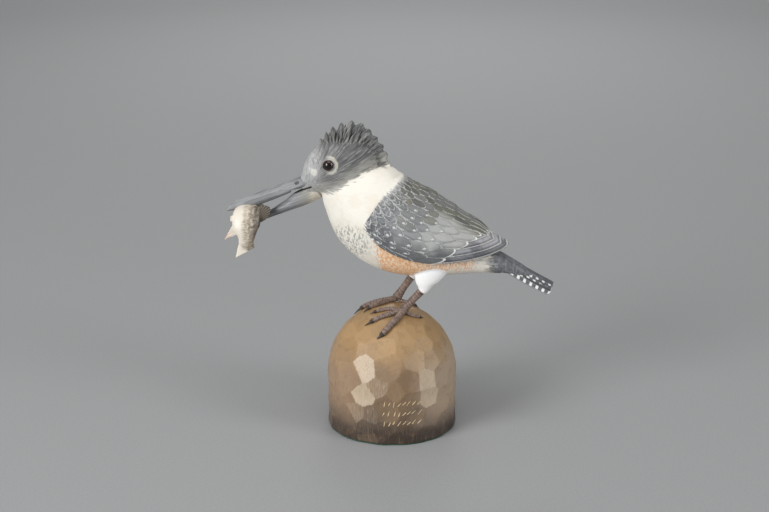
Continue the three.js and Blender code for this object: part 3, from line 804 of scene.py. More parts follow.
# %% The wings' shell
WINGS = [
    (-24, 0, 206, 47.6, 37.8, 32.4), (0, 0, 190, 48.8, 36, 37.2),
    (27, 0, 178, 47.5, 30, 37), (55, 0, 174, 38.5, 26, 32),
    (80, 0, 175, 23.5, 20, 23), (98, 0, 177, 8.5, 10, 14.5),
    (108, 0, 178.5, 2.5, 4, 9),
]
WING_POWER = 2.15
WING_THICKNESS = 3.0
WING_EDGE_ROUND = 1.3
WING_GAP_START, WING_GAP_END, WING_GAP_HALF = 74, 115, 7.5  # where the two wings part over the rump
WING_ROWS, WING_COLUMNS = 300, 136  # along one wing and down one side
FAR_TIP_DROP = 8.5  # the far wing's tip tucks in lower than the near one
LINING_STEP = 4  # the lining inside has one face for this many outside, each way
EDGE_SHARES = np.linspace(0, 1, 50)


def bezier(share, *corners):
    """Points on the Bezier curve with these corners, at these shares of its way."""
    share = np.asarray(share, float)[..., None]
    rows = [np.array(corner, float) for corner in corners]
    while len(rows) > 1:
        rows = [(1 - share) * one + share * two for one, two in zip(rows, rows[1:])]
    return rows[0]


WING_TIP = bezier(EDGE_SHARES, (100, 173.5), (107.5, 176.5), (106, 180))
LOWER_EDGE = np.vstack([
    [(-40, 215)],
    bezier(EDGE_SHARES, (-30, 208), (-24, 186), (2, 170), (34, 167.2)),
    bezier(EDGE_SHARES, (34, 167.2), (62, 165.5), (88, 168.5), (100, 173.5))[1:],
    WING_TIP[1:26],
])
REAR_EDGE = np.vstack([
    WING_TIP[26:],
    bezier(EDGE_SHARES, (106, 180), (104, 190), (92, 200))[1:],
    [(50, 250)],
])
LIMIT_SHARES = np.linspace(0, 1, 401)
LIMIT_ANGLES = np.linspace(0.5 * np.pi, 1.5 * np.pi, 721)  # from the top down the left side
NEAR_TOP = 60  # this many of the angles are too near the top to be the lower edge


def wing_point(share, angle):
    return loft_points(WINGS, share, angle, WING_POWER)


def first_beyond(outside):
    """The first place in each row where a row of tests turns true, or the row's end."""
    return np.where(outside.any(axis=1), outside.argmax(axis=1), outside.shape[1] - 1)


def wing_limits():
    """For each share along the wing, the angle at the back's middle gap and at the lower edge."""
    grid_share, grid_angle = np.meshgrid(LIMIT_SHARES, LIMIT_ANGLES, indexing="ij")
    x, y, z = np.moveaxis(
        wing_point(grid_share.ravel(), grid_angle.ravel()).reshape(*grid_share.shape, 3), 2, 0)
    below = z < np.interp(x, *LOWER_EDGE.T)
    below[:, :NEAR_TOP] = False
    clear_of_gap = -y >= np.interp(x, (WING_GAP_START, WING_GAP_END), (0, WING_GAP_HALF))
    return LIMIT_ANGLES[first_beyond(clear_of_gap)], LIMIT_ANGLES[first_beyond(below)]


GAP_ANGLES, LOWER_ANGLES = wing_limits()


def wing_surface(share, down):
    """A point on the left wing, at this share of the way back and of the way down."""
    top = np.interp(share, LIMIT_SHARES, GAP_ANGLES)
    low = np.interp(share, LIMIT_SHARES, LOWER_ANGLES)
    return wing_point(share, top + (low - top) * down)


def wing_ends(down):
    """How far back the wing reaches at each share of the way down."""
    shares = np.linspace(0.6, 1, 400)
    grid_down, grid_share = np.meshgrid(down, shares, indexing="ij")
    points = wing_surface(grid_share.ravel(), grid_down.ravel())
    behind = points[:, 0] > np.interp(points[:, 2], REAR_EDGE[:, 1], REAR_EDGE[:, 0])
    return shares[first_beyond(behind.reshape(grid_share.shape))]


down_steps = np.linspace(0, 1, WING_COLUMNS + 1)
reach_back = wing_ends(down_steps)
grid_back, grid_down = np.meshgrid(np.linspace(0, 1, WING_ROWS + 1), down_steps, indexing="ij")
wing_share = grid_back * reach_back[None, :]
wing_outer = wing_surface(wing_share.ravel(), grid_down.ravel()).reshape(*grid_back.shape, 3)
girth = np.linalg.norm(np.diff(wing_outer, axis=1), axis=2).sum(axis=1)
length = np.linalg.norm(np.diff(wing_outer, axis=0), axis=2).sum(axis=0)
print(f"wing {length.max():.0f} mm long, {girth.max():.0f} mm from the back's middle to its lower edge")

# %% [markdown]
# ## Feathers in overlapping rows
# Feathers lie like roof tiles: each row covers the roots of the row behind it. They could be separate blades,
# but the carver cuts them as low steps in one surface, and so does this. A point belongs to the first row,
# counted from the shoulder, whose scalloped edge it hasn't passed. For every point the layout gives its
# distance from its feather's free edge and tip, and from the white spot that some rows have near the tip.

# %% Rows of wing feathers
# Where the row's tips lie at the lower edge and at the back's middle, as shares of the wing's length,
# feathers down one side, depth of the scallops in mm, whether it has white spots, and its step in mm.
# Rows that nearly meet at the lower edge spread out over the back.
FEATHER_ROWS = [
    (0.000, 0.070, 13, 3.5, False, 0.30),
    (0.015, 0.130, 12, 4.5, False, 0.40),
    (0.035, 0.200, 11, 5.5, False, 0.45),
    (0.065, 0.275, 11, 6.5, True, 0.55),
    (0.105, 0.360, 10, 7.5, True, 0.60),
    (0.155, 0.450, 10, 8.5, True, 0.70),
    (0.215, 0.550, 9.5, 9.0, True, 0.75),
    (0.285, 0.660, 9, 9.0, False, 0.80),
    (0.390, 0.790, 9, 4.4, False, 0.90),
]
ZIGZAG_ROW = len(FEATHER_ROWS) - 1  # the row whose tips are painted white
WING_LENGTH = 150.0
PRIMARY_WIDTH = 5.6
PRIMARY_STEP = 0.75
# The primaries run alongside this line: the wing's lower edge, round its tip and on upwards.
ROUND_THE_TIP = REAR_EDGE[REAR_EDGE[:, 1] <= 180]
PRIMARY_GUIDE = np.vstack([LOWER_EDGE[40:], ROUND_THE_TIP, [(104.5, 187), (101, 197), (97, 208)]])
WANDER = 1.8  # how far a feather's tip lies before or behind its row
SPOT_FROM_TIP, SPOT_LENGTH = 2.6, 1.4
UNDER_NEXT = 0.12  # the free edge's line starts this far from it
FAR = 9.0  # stands for a distance where there is nothing to be near to


def to_guide(points):
    """Distance of points from the primaries' guide, in the side view."""
    places = points[:, [0, 2]]
    return np.minimum.reduce([to_segment(places, *ends) for ends in zip(PRIMARY_GUIDE, PRIMARY_GUIDE[1:])])


def random_share(feather, row):
    """A number from 0 to 1 for each feather of a row, always the same."""
    return np.modf(np.abs(np.sin(feather * 12.9898 + row * 78.233)) * 43758.5453)[0]


def set_where(made, mine, values):
    """Writes each value into the array of its name, at the points that are `mine`."""
    for name, value in values.items():
        made[name][mine] = np.broadcast_to(value, mine.shape)[mine]


def lay_feathers(share, down, girth_here, guide):
    """What each point of the wing needs to know about its feather, as a dict of arrays."""
    names = ("fringe", "to_tip", "row", "tone", "spot", "exposed", "height")
    made = {name: np.zeros(share.shape) for name in names}
    free = np.ones(share.shape, bool)
    before = np.full(share.shape, -0.1)
    for row, (low, high, count, scallop, spotted, step) in enumerate(FEATHER_ROWS):
        place = down * count + 0.5 * (row % 2)
        across = 2 * (place - np.floor(place)) - 1
        wander = WANDER * np.sin(np.floor(place) * 2.4 + row * 1.7)
        tip = low + (high - low) * (1 - down**2) + (wander - scallop * np.abs(across) ** 2) / WING_LENGTH
        exposed = np.maximum((tip - before) * WING_LENGTH, 1)
        to_tip = (tip - share) * WING_LENGTH
        width = girth_here / count
        mine = free & (share < tip)
        values = {
            "fringe": np.minimum(to_tip, (1 - across) / 2 * width + UNDER_NEXT),
            "to_tip": to_tip,
            "row": row,
            "tone": random_share(np.floor(place), row),
            "spot": np.hypot((to_tip - SPOT_FROM_TIP) / SPOT_LENGTH, across * width / 2) if spotted else FAR,
            "exposed": exposed,
            "height": step * (0.6 * (1 - np.clip(to_tip / exposed, 0, 1)) + 0.4 * (across + 1) / 2),
        }
        set_where(made, mine, values)
        free &= ~mine
        before = np.maximum(before, tip)
    band = (guide + PRIMARY_WIDTH - 1.0) / PRIMARY_WIDTH
    part = band - np.floor(band)
    set_where(made, free, {
        "fringe": part * PRIMARY_WIDTH + UNDER_NEXT,
        "to_tip": 30.0,
        "row": ZIGZAG_ROW + 1.0,
        "tone": random_share(np.floor(band), 90),
        "spot": FAR,
        "exposed": FAR,
        "height": PRIMARY_STEP * (1 - part),
    })
    return made


girth_here = np.interp(wing_share, np.linspace(0, 1, WING_ROWS + 1), girth)
guide_here = to_guide(wing_outer.reshape(-1, 3)).reshape(wing_share.shape)
feathers = lay_feathers(wing_share, grid_down, girth_here, guide_here)
print(len(np.unique(feathers["tone"])), "feathers on each wing")

# %% Round the wings' edges and raise the feathers
FRONT_SINK = 1.1  # the shell's front rim dives into the body, so that no step shows
INSIDE_WINGS = np.array([30, 0, 175])


def grid_normals(grid):
    """Outward normals of a grid of points, from its neighbours both ways."""
    back, down = np.gradient(grid, axis=0), np.gradient(grid, axis=1)
    normal = np.cross(back, down)
    normal /= np.maximum(np.linalg.norm(normal, axis=2, keepdims=True), 1e-9)
    outward = np.sign((normal * (grid - INSIDE_WINGS)).sum(axis=2).mean())
    return normal * outward


def edge_drop(distance, radius):
    """How far a rounded edge falls away at a distance from it."""
    inside = np.clip(radius - distance, 0, radius)
    return radius - np.sqrt(radius**2 - inside**2)


wing_normal = grid_normals(wing_outer)
wing_normal[:, 0][wing_outer[:, 0, 0] < WING_GAP_START, 1] = 0
wing_normal = unit(wing_normal)
to_lower = (1 - grid_down) * girth_here
to_rear = (1 - grid_back) * WING_LENGTH
past_gap = smoothstep(WING_GAP_START, WING_GAP_START + 4, wing_outer[:, :, 0])
to_gap = grid_down * girth_here + 9 * (1 - past_gap)
to_edge = np.minimum(np.minimum(to_lower, to_rear), to_gap)
relief = feathers.pop("height") * smoothstep(0, 1.2, to_edge) - edge_drop(to_edge, WING_EDGE_ROUND)
relief -= FRONT_SINK * (1 - smoothstep(0.0, 0.035, wing_share))
wing_carved = wing_outer + wing_normal * relief[:, :, None]
thickness = WING_THICKNESS - 1.4 * smoothstep(0.5, 0.95, wing_share)
wing_lining = wing_outer - wing_normal * thickness[:, :, None]
print(f"feathers raised by up to {relief.max():.1f} mm")

# %% [markdown]
# The outside is a fine grid, and the lining that faces the rump only has to close the shell, so it keeps one
# face for every sixteen. Where the lining meets the fine edge, its faces simply have more corners. Both
# halves are made at once by mirroring, and share their points along the middle of the back.

# %% Close the shell


def grid_faces(number):
    corners = (number[:-1, :-1], number[1:, :-1], number[1:, 1:], number[:-1, 1:])
    return [tuple(face) for face in np.stack([corner.ravel() for corner in corners], 1).tolist()]


def border_of(number):
    """The numbers round the border of a grid, as one loop."""
    sides = (number[:-1, 0], number[-1, :-1], number[:0:-1, -1], number[0, :0:-1])
    return np.concatenate(sides).tolist()


def lining_faces(number):
    """Coarse faces over a fine grid. Those at the grid's border take every point of the border."""
    border = set(border_of(number))
    faces = []
    for row in range(0, number.shape[0] - 1, LINING_STEP):
        for column in range(0, number.shape[1] - 1, LINING_STEP):
            block = number[row : row + LINING_STEP + 1, column : column + LINING_STEP + 1]
            corners = {block[0, 0], block[-1, 0], block[-1, -1], block[0, -1]}
            faces.append(tuple(point for point in border_of(block) if point in border or point in corners))
    return faces


def wall_faces(number, shared=()):
    """Faces from a grid's border to that of the grid numbered after it, but none between shared points."""
    loop = border_of(number)
    return [(one, one + number.size, two + number.size, two) for one, two in zip(loop, [*loop[1:], loop[0]])
            if not (one in shared and two in shared)]


def wing_half():
    """The left half of the shell: its outside, its lining, and the walls between their borders."""
    number = np.arange(wing_share.size).reshape(wing_share.shape)
    faces = grid_faces(number)
    faces += flipped(lining_faces(number + number.size))
    on_spine = wing_outer[:, 0, 0] < WING_GAP_START
    faces += wall_faces(number, set(number[on_spine, 0].tolist()))
    return np.vstack([wing_carved.reshape(-1, 3), wing_lining.reshape(-1, 3)]), faces


def weld(piece, distance):
    """Joins points that lie within a distance in millimetres, and turns all faces outwards."""
    shape = bmesh.new()
    shape.from_mesh(piece.data)
    bmesh.ops.remove_doubles(shape, verts=shape.verts, dist=distance * MM)
    loose = [vertex for vertex in shape.verts if not vertex.link_faces]
    bmesh.ops.delete(shape, geom=loose, context="VERTS")
    bmesh.ops.recalc_face_normals(shape, faces=shape.faces)
    shape.to_mesh(piece.data)
    shape.free()
    piece.data.update()
    return piece


half_points, half_faces = wing_half()
other_points = half_points * (1, -1, 1)
other_points[:, 2] -= FAR_TIP_DROP * smoothstep(80, 106, other_points[:, 0])
halves = together((half_points, half_faces), (other_points, flipped(half_faces)))
wings = mesh_object("folded_wings", *halves)
for name, values in feathers.items():
    flat = values.ravel()
    lining = np.full(flat.size, FAR) if name in ("fringe", "spot", "to_tip") else flat
    store(wings, name, np.concatenate([flat, lining, flat, lining]))
ROWS_APART = 9  # keeps the brush strokes of one row from running on into the next
wing_place = np.stack([wing_share * WING_LENGTH, grid_down * girth_here, feathers["row"] * ROWS_APART], 2)
store(wings, "wing_place", np.tile(wing_place.reshape(-1, 3), (4, 1)))
store(wings, "above_edge", np.tile(to_lower.ravel(), 4))
weld(wings, 0.02)
store(wings, "mantle", mantle_depth(points_of(wings)))
print("wings:", count_triangles(wings), "triangles")

# %% [markdown]
# ## The tail
# Seven stiff feathers make a closed fan, the middle one on top like the ridge of a roof. Each is a blade with
# a raised shaft, a little hollow below, and shallow barbs that slant back from the shaft. A function makes
# one blade flat, and then turns and tilts it into the fan. Last, the sides of the roof are let down, much at
# the root and hardly at all at the end.

# %% Tail feathers
TAIL_ROOT = np.array([84, 0, 174.1])
TAIL_SLOPE = math.radians(-29.8)
TAIL_LENGTH = 74.5
TAIL_EACH_SIDE = 3
TAIL_FEATHER_HALF = 5.4
TAIL_HALF = 15
TAIL_THICKNESS = 2.4
TAIL_DROPS = (0, 0.8, 1.8, 2.9)  # how far each outer feather lies below the middle one
TAIL_ROLL = math.radians(6)  # each feather outwards slopes down by this much more
TAIL_ROUNDING = 3.0
TAIL_SHORTER = 0.5
TAIL_ROOF_X, TAIL_ROOF = (84, 107, 146), (1.1, 0.75, 0.12)  # how steeply its sides fall, at three places
TAIL_RIDGE_ROUND = 2
TAIL_ROWS, TAIL_COLUMNS = 90, 24
SHAFT_HEIGHT, SHAFT_HALF = 0.35, 0.7
BARB_SPACING, BARB_DEPTH, BARB_SLANT = 1.6, 0.09, 1.1
DASH_SPACING, DASH_SHIFT = 6.6, 2.2  # the painted white dashes, and how each feather's are offset


def tail_feather(index):
    """One feather: points, faces, and for each point its index, place across, and place along in mm."""
    length = TAIL_LENGTH - TAIL_SHORTER * abs(index) / TAIL_EACH_SIDE
    rows, columns = np.linspace(0, 1, TAIL_ROWS + 1), np.linspace(-1, 1, TAIL_COLUMNS + 1)
    along, across = np.meshgrid(rows, columns, indexing="ij")
    x = along * length
    end = np.clip((x - (length - TAIL_ROUNDING)) / TAIL_ROUNDING, 0, 1)
    half = TAIL_FEATHER_HALF * (0.8 + 0.2 * along) * np.sqrt(np.maximum(1 - end**2.4, 0.002))
    y = across * half
    camber = TAIL_THICKNESS * 0.5 * np.sqrt(np.maximum(1 - across**2, 0))
    shaft = SHAFT_HEIGHT * np.exp(-((y / SHAFT_HALF) ** 2)) * (1 - 0.5 * along)
    barbs = BARB_DEPTH * np.sin(2 * math.pi * (x - BARB_SLANT * np.abs(y)) / BARB_SPACING)
    barbs *= smoothstep(0.05, 0.25, np.abs(across)) * (1 - smoothstep(0.85, 1, np.abs(across)))
    top = np.stack([x, y, camber + shaft + barbs], 2).reshape(-1, 3)
    below = np.stack([x, y, -0.55 * camber], 2).reshape(-1, 3)
    number = np.arange(along.size).reshape(along.shape)
    faces = grid_faces(number) + flipped(grid_faces(number + number.size)) + wall_faces(number)
    turn = math.atan2(TAIL_HALF * index / TAIL_EACH_SIDE, TAIL_LENGTH)
    roll = Matrix.Rotation(-TAIL_ROLL * index, 3, "X")
    pose = Matrix.Rotation(-TAIL_SLOPE, 3, "Y") @ Matrix.Rotation(turn, 3, "Z")
    points = np.vstack([top, below])
    points = points @ np.array(roll).T - (0, 0, TAIL_DROPS[abs(index)])
    points = points @ np.array(pose).T + TAIL_ROOT
    from_ridge = np.sqrt(points[:, 1] ** 2 + TAIL_RIDGE_ROUND**2) - TAIL_RIDGE_ROUND
    points[:, 2] -= np.interp(points[:, 0], TAIL_ROOF_X, TAIL_ROOF) * from_ridge
    facts = np.stack([np.full(along.size, float(index)), across.ravel(), x.ravel()], 1)
    return points, faces, np.vstack([facts, facts])


tail_parts = [tail_feather(index) for index in range(-TAIL_EACH_SIDE, TAIL_EACH_SIDE + 1)]
tail = mesh_object("tail_feathers", *together(*((points, faces) for points, faces, _ in tail_parts)))
facts = np.vstack([facts for _, _, facts in tail_parts])
index, across, along = facts.T
dash_place = (along + DASH_SHIFT * np.abs(index)) / DASH_SPACING
store_all(tail, {
    "feather": facts,
    "middle": np.abs(across),
    "outward": across * np.sign(index),
    "outer": np.abs(index),
    "along": along,
    "to_dash": np.abs(dash_place - np.round(dash_place)) * DASH_SPACING,
})
weld(tail, 0.01)
print("tail:", count_triangles(tail), "triangles")

# %% [markdown]
# ## The bill
# Two tapering lofts with a ridge along the top, cut back at the corner of the mouth. The real bill is carved
# in one with the head and then sanded smooth, so its surface stays plain: only a shallow nostril is pressed
# into each side. The line where the two halves meet is left to the paint.

# %% Upper and lower mandible
UPPER_MANDIBLE = [
    (-151.5, 0, 207.8, 0.9, 0.6, 0.8), (-145.5, 0, 209.6, 4.6, 2.2, 2),
    (-138.5, 0, 211.6, 6.4, 3.1, 3), (-119, 0, 217.6, 7.6, 3.6, 4.6),
    (-101, 0, 225, 7.4, 3.7, 6.2), (-83, 0, 233, 6.4, 3.6, 8.4),
    (-68, 0, 238, 6, 4, 9),
]
LOWER_MANDIBLE = [
    (-139.5, 0, 190.2, 0.7, 0.7, 0.8), (-131, 0, 194.6, 1.4, 1.9, 2),
    (-117.5, 0, 201.6, 1.9, 2.8, 3.4), (-97, 0, 212.4, 4.2, 5.8, 5.4),
    (-84, 0, 219.6, 6.6, 8.2, 7.2), (-68, 0, 228, 5, 9, 7),
]
NOSTRIL = np.array([-86.5, 7.4, 235.4])
NOSTRIL_LENGTH, NOSTRIL_HEIGHT, NOSTRIL_DEPTH = 6.6, 1.8, 1.1
NOSTRIL_SLOPE = math.radians(26)
UPPER_POWER, LOWER_POWER = 1.6, 1.8


def nostril_share(points):
    """1 in the middle of a nostril, falling to 0 at its rim."""
    x, z = points[:, 0] - NOSTRIL[0], points[:, 2] - NOSTRIL[2]
    along = x * math.cos(NOSTRIL_SLOPE) + z * math.sin(NOSTRIL_SLOPE)
    over = -x * math.sin(NOSTRIL_SLOPE) + z * math.cos(NOSTRIL_SLOPE)
    return 1 - smoothstep(0.3, 1.0, np.hypot(along / NOSTRIL_LENGTH * 2, over / NOSTRIL_HEIGHT))


def mandible(name, rows, power, into_mouth):
    """One half of the bill. `into_mouth` is 1 if its top lies in the mouth, and -1 if its underside does."""
    piece = mesh_object(name, *loft(rows, sides=72, steps=26, power=power))
    cut_away(piece, mouth_corner())
    points, facing = points_of(piece), normals_of(piece)
    sunk = nostril_share(points) * (np.abs(points[:, 1]) > 2.5)
    move_points(piece, points - facing * (NOSTRIL_DEPTH * sunk)[:, None])
    store_all(piece, {
        "nostril": sunk,
        "in_mouth": facing[:, 2] * into_mouth,
        "mouth": to_mouth(points),
        "lower_half": np.full(len(points), into_mouth > 0),
    })
    return piece


upper_bill = mandible("upper_bill", UPPER_MANDIBLE, UPPER_POWER, -1)
lower_bill = mandible("lower_bill", LOWER_MANDIBLE, LOWER_POWER, 1)
print("bill:", count_triangles(upper_bill) + count_triangles(lower_bill), "triangles")

# %% [markdown]
# ## Glass eyes
# Carvers buy glass eyes: a dome of clear glass, painted behind with an iris and a pupil. From outside that
# reads as a dark, very smooth ball. Each eye here is turned from a profile with a slight bulge in front, its
# pole pointing outwards, so that the glints of the left and right softboxes sit where they do on real glass.

# %% Eyes
EYE_FORWARD = 0.12  # the eye looks forward by this many radians
EYE_BULGE = 0.35
EYE_RINGS, EYE_SIDES = 40, 64


def eye_profile():
    for turn in math.pi / EYE_RINGS * np.arange(EYE_RINGS):
        radius = EYE_RADIUS + EYE_BULGE * max(0, math.cos(turn)) ** 6
        yield radius * math.sin(turn), radius * math.cos(turn)


def glass_eye(name, side):
    points, faces = turned(list(eye_profile()), EYE_SIDES)
    faces += flipped(fan_faces(len(points), len(points) - EYE_SIDES, EYE_SIDES))
    points.append((0, 0, -EYE_RADIUS))
    looks = Vector((-math.sin(EYE_FORWARD), side * math.cos(EYE_FORWARD), 0))
    pose = np.array(looks.to_track_quat("Z", "Y").to_matrix())
    eye = mesh_object(name, np.array(points) @ pose.T + EYE * (1, side, 1), faces)
    height = np.array(points)[:, 2] / np.linalg.norm(points, axis=1)
    store(eye, "from_pupil", np.degrees(np.arccos(np.clip(height, -1, 1))))
    return eye


eyes = [glass_eye("left_glass_eye", -1), glass_eye("right_glass_eye", 1)]
print("eyes:", count_triangles(eyes[0]), "triangles each")

# %% [markdown]
# ## The fish
# A small fish is gripped across the bill and hangs down on the near side. Its body is a loft and its fins
# are thin plates with rays, fused into one skin, from which room for the bill is cut. Its paint needs to know
# where back and belly are, so every point stores how far round and how far along the fish it lies.

# %% Body and fins of the fish
FISH = [
    (-124, 33, 196, 0.8, 0.8, 1.6), (-125, 27, 200.4, 3.6, 3.6, 5.6),
    (-127, 14, 206.4, 5.6, 5.4, 9.6), (-130, 0, 208.6, 6, 5.8, 12),
    (-131.7, -9.5, 206, 5.8, 5.2, 13), (-132.6, -15.5, 197, 5.4, 5.2, 12.2),
    (-132.3, -16.5, 186.5, 4.8, 4.8, 7.6), (-133.2, -16.2, 180, 3.4, 3.4, 6.6),
    (-135.4, -16, 175.5, 1.6, 1.6, 5),
]
FISH_ACROSS = (1, 0, 0)
FISH_VOXEL = 0.45
TAIL_FIN = [(-139.6, 180), (-126.8, 182), (-125, 177.4), (-133, 172.6), (-142.8, 167.4)]
VENTRAL_FIN = [(-143, 201), (-146.6, 195), (-152.4, 184.2), (-138, 190.4)]
BREAST_FIN = [(-140, 208), (-146.4, 206), (-147, 201.4), (-140, 200)]
FIN_SHARES = np.linspace(0, 1, 8)
DORSAL_FIN = np.vstack([
    bezier(FIN_SHARES, (-122, 213.5), (-114, 217), (-110.6, 213)),
    bezier(FIN_SHARES, (-110.6, 213), (-109, 207.5), (-115, 202))[1:],
    [(-122, 198)],
])
FIN_RAY_SPACING, FIN_RAY_DEPTH = 1.5, 0.16
RAY_MIDDLE, RAY_SPREAD = (-128, 200), 0.25  # the rays fan out from here, this many millimetres to a degree
FISH_LENGTH = 90

fish = fuse(
    "small_fish",
    [
        loft(FISH, sides=48, steps=8, across=FISH_ACROSS),
        side_plate(TAIL_FIN, -17.2, -14.8),
        side_plate(VENTRAL_FIN, -15.8, -14.2),
        side_plate(BREAST_FIN, -13.8, -12.2),
        side_plate([tuple(point) for point in DORSAL_FIN], -12, -9.6),
    ],
    FISH_VOXEL,
    rounds=3,
)
for rows, power in ((UPPER_MANDIBLE, UPPER_POWER), (LOWER_MANDIBLE, LOWER_POWER)):
    cut_away(fish, mesh_object("room_for_the_bill", *loft(rows, power=power, grow=GAP)))


def nearest_on_loft(points, rows, across):
    """For each point, the share along a loft's middle line, and its sideways offset there in mm."""
    shares = np.linspace(0, 1, 241)
    line = spline(np.asarray(rows, float)[:, :3], shares, True)
    gaps = np.linalg.norm(points[:, None, :] - line[None, :, :], axis=2)
    nearest = gaps.argmin(axis=1)
    return shares[nearest], (points - line[nearest]) @ np.asarray(across, float)


fish_points = points_of(fish)
fish_share, fish_side = nearest_on_loft(fish_points, FISH, FISH_ACROSS)
on_fin = smoothstep(10.5, 12.5, np.abs(fish_side) + 6 * smoothstep(0.82, 0.95, fish_share))
x, y, z = fish_points.T
fan = np.degrees(np.arctan2(z - RAY_MIDDLE[1], x - RAY_MIDDLE[0])) * RAY_SPREAD
rays = np.sin(2 * math.pi * fan / FIN_RAY_SPACING) * on_fin
move_points(fish, fish_points + normals_of(fish) * (FIN_RAY_DEPTH * rays)[:, None])
store_all(fish, {
    "fish_place": np.stack([fish_share * FISH_LENGTH, fish_side, y], 1),
    "fin": on_fin,
    "ray": rays,
})
print("fish:", count_triangles(fish), "triangles")

# %% [markdown]
# ## The rock
# The rock is a turned block, dressed with nearly two hundred knife cuts. Each cut is a very shallow scoop,
# deepest in its middle and less deep with the square of the distance. Where two scoops meet, the deeper one
# wins, and the crease between them comes out straight. So the whole rock is one fine grid, pushed in at each
# point by its deepest cut. The pale flats at the front, which carry a painted reflection of the softboxes,
# have the corners that they have in the photograph: a scoop in the middle of each, and one mirrored across
# each side. All other cuts follow two sunflower spirals, a broad one and a finer one that takes off the
# ridges between the broad cuts, and some of them carry a faint painted sheen.

# %% The rock's turned form and its cuts
ROCK_RADIUS = 60.5
ROCK_SHOULDER = 50.0
ROCK_HEIGHT = 116.0
ROCK_DOME_POWER = 2.05
ROCK_FOOT_TUCK = 0.008
FELT_THICKNESS = 1.5
SCOOP_ROUND = 60.0  # radius of a scoop's own curve
SPIRALS = [  # cuts, where the spiral starts in degrees, least depth, how much more at most, and the most painted sheen
    (54, 0, 0.9, 0.7, 0.16),
    (150, 57, 0.5, 0.6, 0.1),
]
SPIRAL_FOOT = 5.0
SPIRAL_TURN = math.pi * (3 - math.sqrt(5))
TINT_STEP = 0.754877  # gives cuts that lie side by side tints that lie far apart
# Each flat's corners as degrees round and height, then its depth and how strong its painted reflection is.
FRONT_FLATS = [
    ([(-36, 88), (-18, 80), (-16, 67), (-21, 63), (-30, 62), (-41, 76)], 2.25, 0.68),
    ([(-29, 63), (-17, 46), (-27, 41), (-40, 42)], 1.65, 0.85),
    ([(-21, 63), (-13, 65), (-10, 60), (-12, 53), (-18, 53)], 1.3, 0.4),
    ([(24, 69), (31, 72), (42, 67), (42, 56), (34, 51), (25, 55)], 1.5, 0.82),
    ([(25, 53), (35, 51), (45, 48), (42, 36), (31, 34), (26, 38)], 1.5, 0.75),
    ([(26, 96), (48, 98), (52, 88), (30, 86)], 1.4, 0.3),
    ([(-44, 37), (-27, 40), (-28, 30), (-33, 17), (-38, 24)], 1.4, 0.4),
    ([(-27, 39), (-14, 38), (-12, 24), (-21, 14), (-28, 28)], 1.3, 0.3),
]
FLAT_SPREAD = 12.0  # no two cuts at the front lie nearer to each other than this


def scatter(index, salt):
    """A number from 0 to 1 that is always the same for the same index."""
    wave = math.sin(index * 12.9898 + salt * 78.233) * 43758.5453
    return wave - math.floor(wave)


def rock_profile(height):
    """The radius at a height, and how far the surface faces up there, in radians."""
    if height <= ROCK_SHOULDER:
        down = (ROCK_SHOULDER - height) / ROCK_SHOULDER
        return ROCK_RADIUS * (1 - ROCK_FOOT_TUCK * down**2), 0.0
    rise = (height - ROCK_SHOULDER) / (ROCK_HEIGHT - ROCK_SHOULDER)
    radius = ROCK_RADIUS * max(1 - rise**ROCK_DOME_POWER, 1e-9) ** (1 / ROCK_DOME_POWER)
    steepness = (rise / (radius / ROCK_RADIUS)) ** (ROCK_DOME_POWER - 1)
    return radius, math.atan(steepness * ROCK_RADIUS / (ROCK_HEIGHT - ROCK_SHOULDER))


def on_rock(turn, height):
    """A place on the uncut rock, and its outward normal."""
    radius, facing = rock_profile(height)
    outward = np.array([math.sin(math.radians(turn)), -math.cos(math.radians(turn)), 0])
    return outward * radius + (0, 0, height), outward * math.cos(facing) + (0, 0, math.sin(facing))


def flats_and_neighbours():
    """The measured flats, then a cut without painted reflection mirrored across each of their sides, to
    crease it.
    """
    flats, neighbours = [], []
    for corners, depth, bright in FRONT_FLATS:
        flats.append((np.mean([on_rock(*corner)[0] for corner in corners], axis=0), depth, bright))
    for (corners, depth, _), (middle, _, _) in zip(FRONT_FLATS, flats):
        for one, two in zip(corners, [*corners[1:], corners[0]]):
            one, two = on_rock(*one)[0], on_rock(*two)[0]
            foot = one + (two - one) * ((middle - one) @ (two - one) / ((two - one) @ (two - one)))
            x, y, z = 2 * foot - middle
            place = on_rock(math.degrees(math.atan2(x, -y)), min(max(z, SPIRAL_FOOT), ROCK_HEIGHT - 2))[0]
            if all(np.linalg.norm(place - cut[0]) > FLAT_SPREAD for cut in flats + neighbours):
                neighbours.append((place, depth, 0.0))
    return flats + neighbours


def knife_cuts():
    """Every cut of the rock. The spirals keep clear of the measured flats."""
    cuts = flats_and_neighbours()
    clear_of = cuts[:]
    for count, start, depth, deeper, painted_sheen in SPIRALS:
        for k in range(count):
            chance = [scatter(k + start, salt) for salt in range(4)]
            height = SPIRAL_FOOT + (ROCK_HEIGHT - SPIRAL_FOOT) * (k + 0.3 + 0.4 * chance[0]) / count
            place = on_rock(math.degrees(k * SPIRAL_TURN) + start + 10 * chance[1], height)[0]
            if all(np.linalg.norm(place - cut[0]) > FLAT_SPREAD - 1 for cut in clear_of):
                cuts.append((place, depth + deeper * chance[2], painted_sheen * chance[3]))
    return cuts


CUTS = knife_cuts()


def deepest_cut(points):
    """How deep the knife went at points of the uncut rock, and the number of the cut that did it."""
    deepest, number = np.zeros(len(points)), np.zeros(len(points), int)
    for index, (middle, depth, _) in enumerate(CUTS, start=1):
        here = depth - ((points - middle) ** 2).sum(axis=1) / (2 * SCOOP_ROUND)
        mine = here > deepest
        deepest[mine], number[mine] = here[mine], index
    return deepest, number


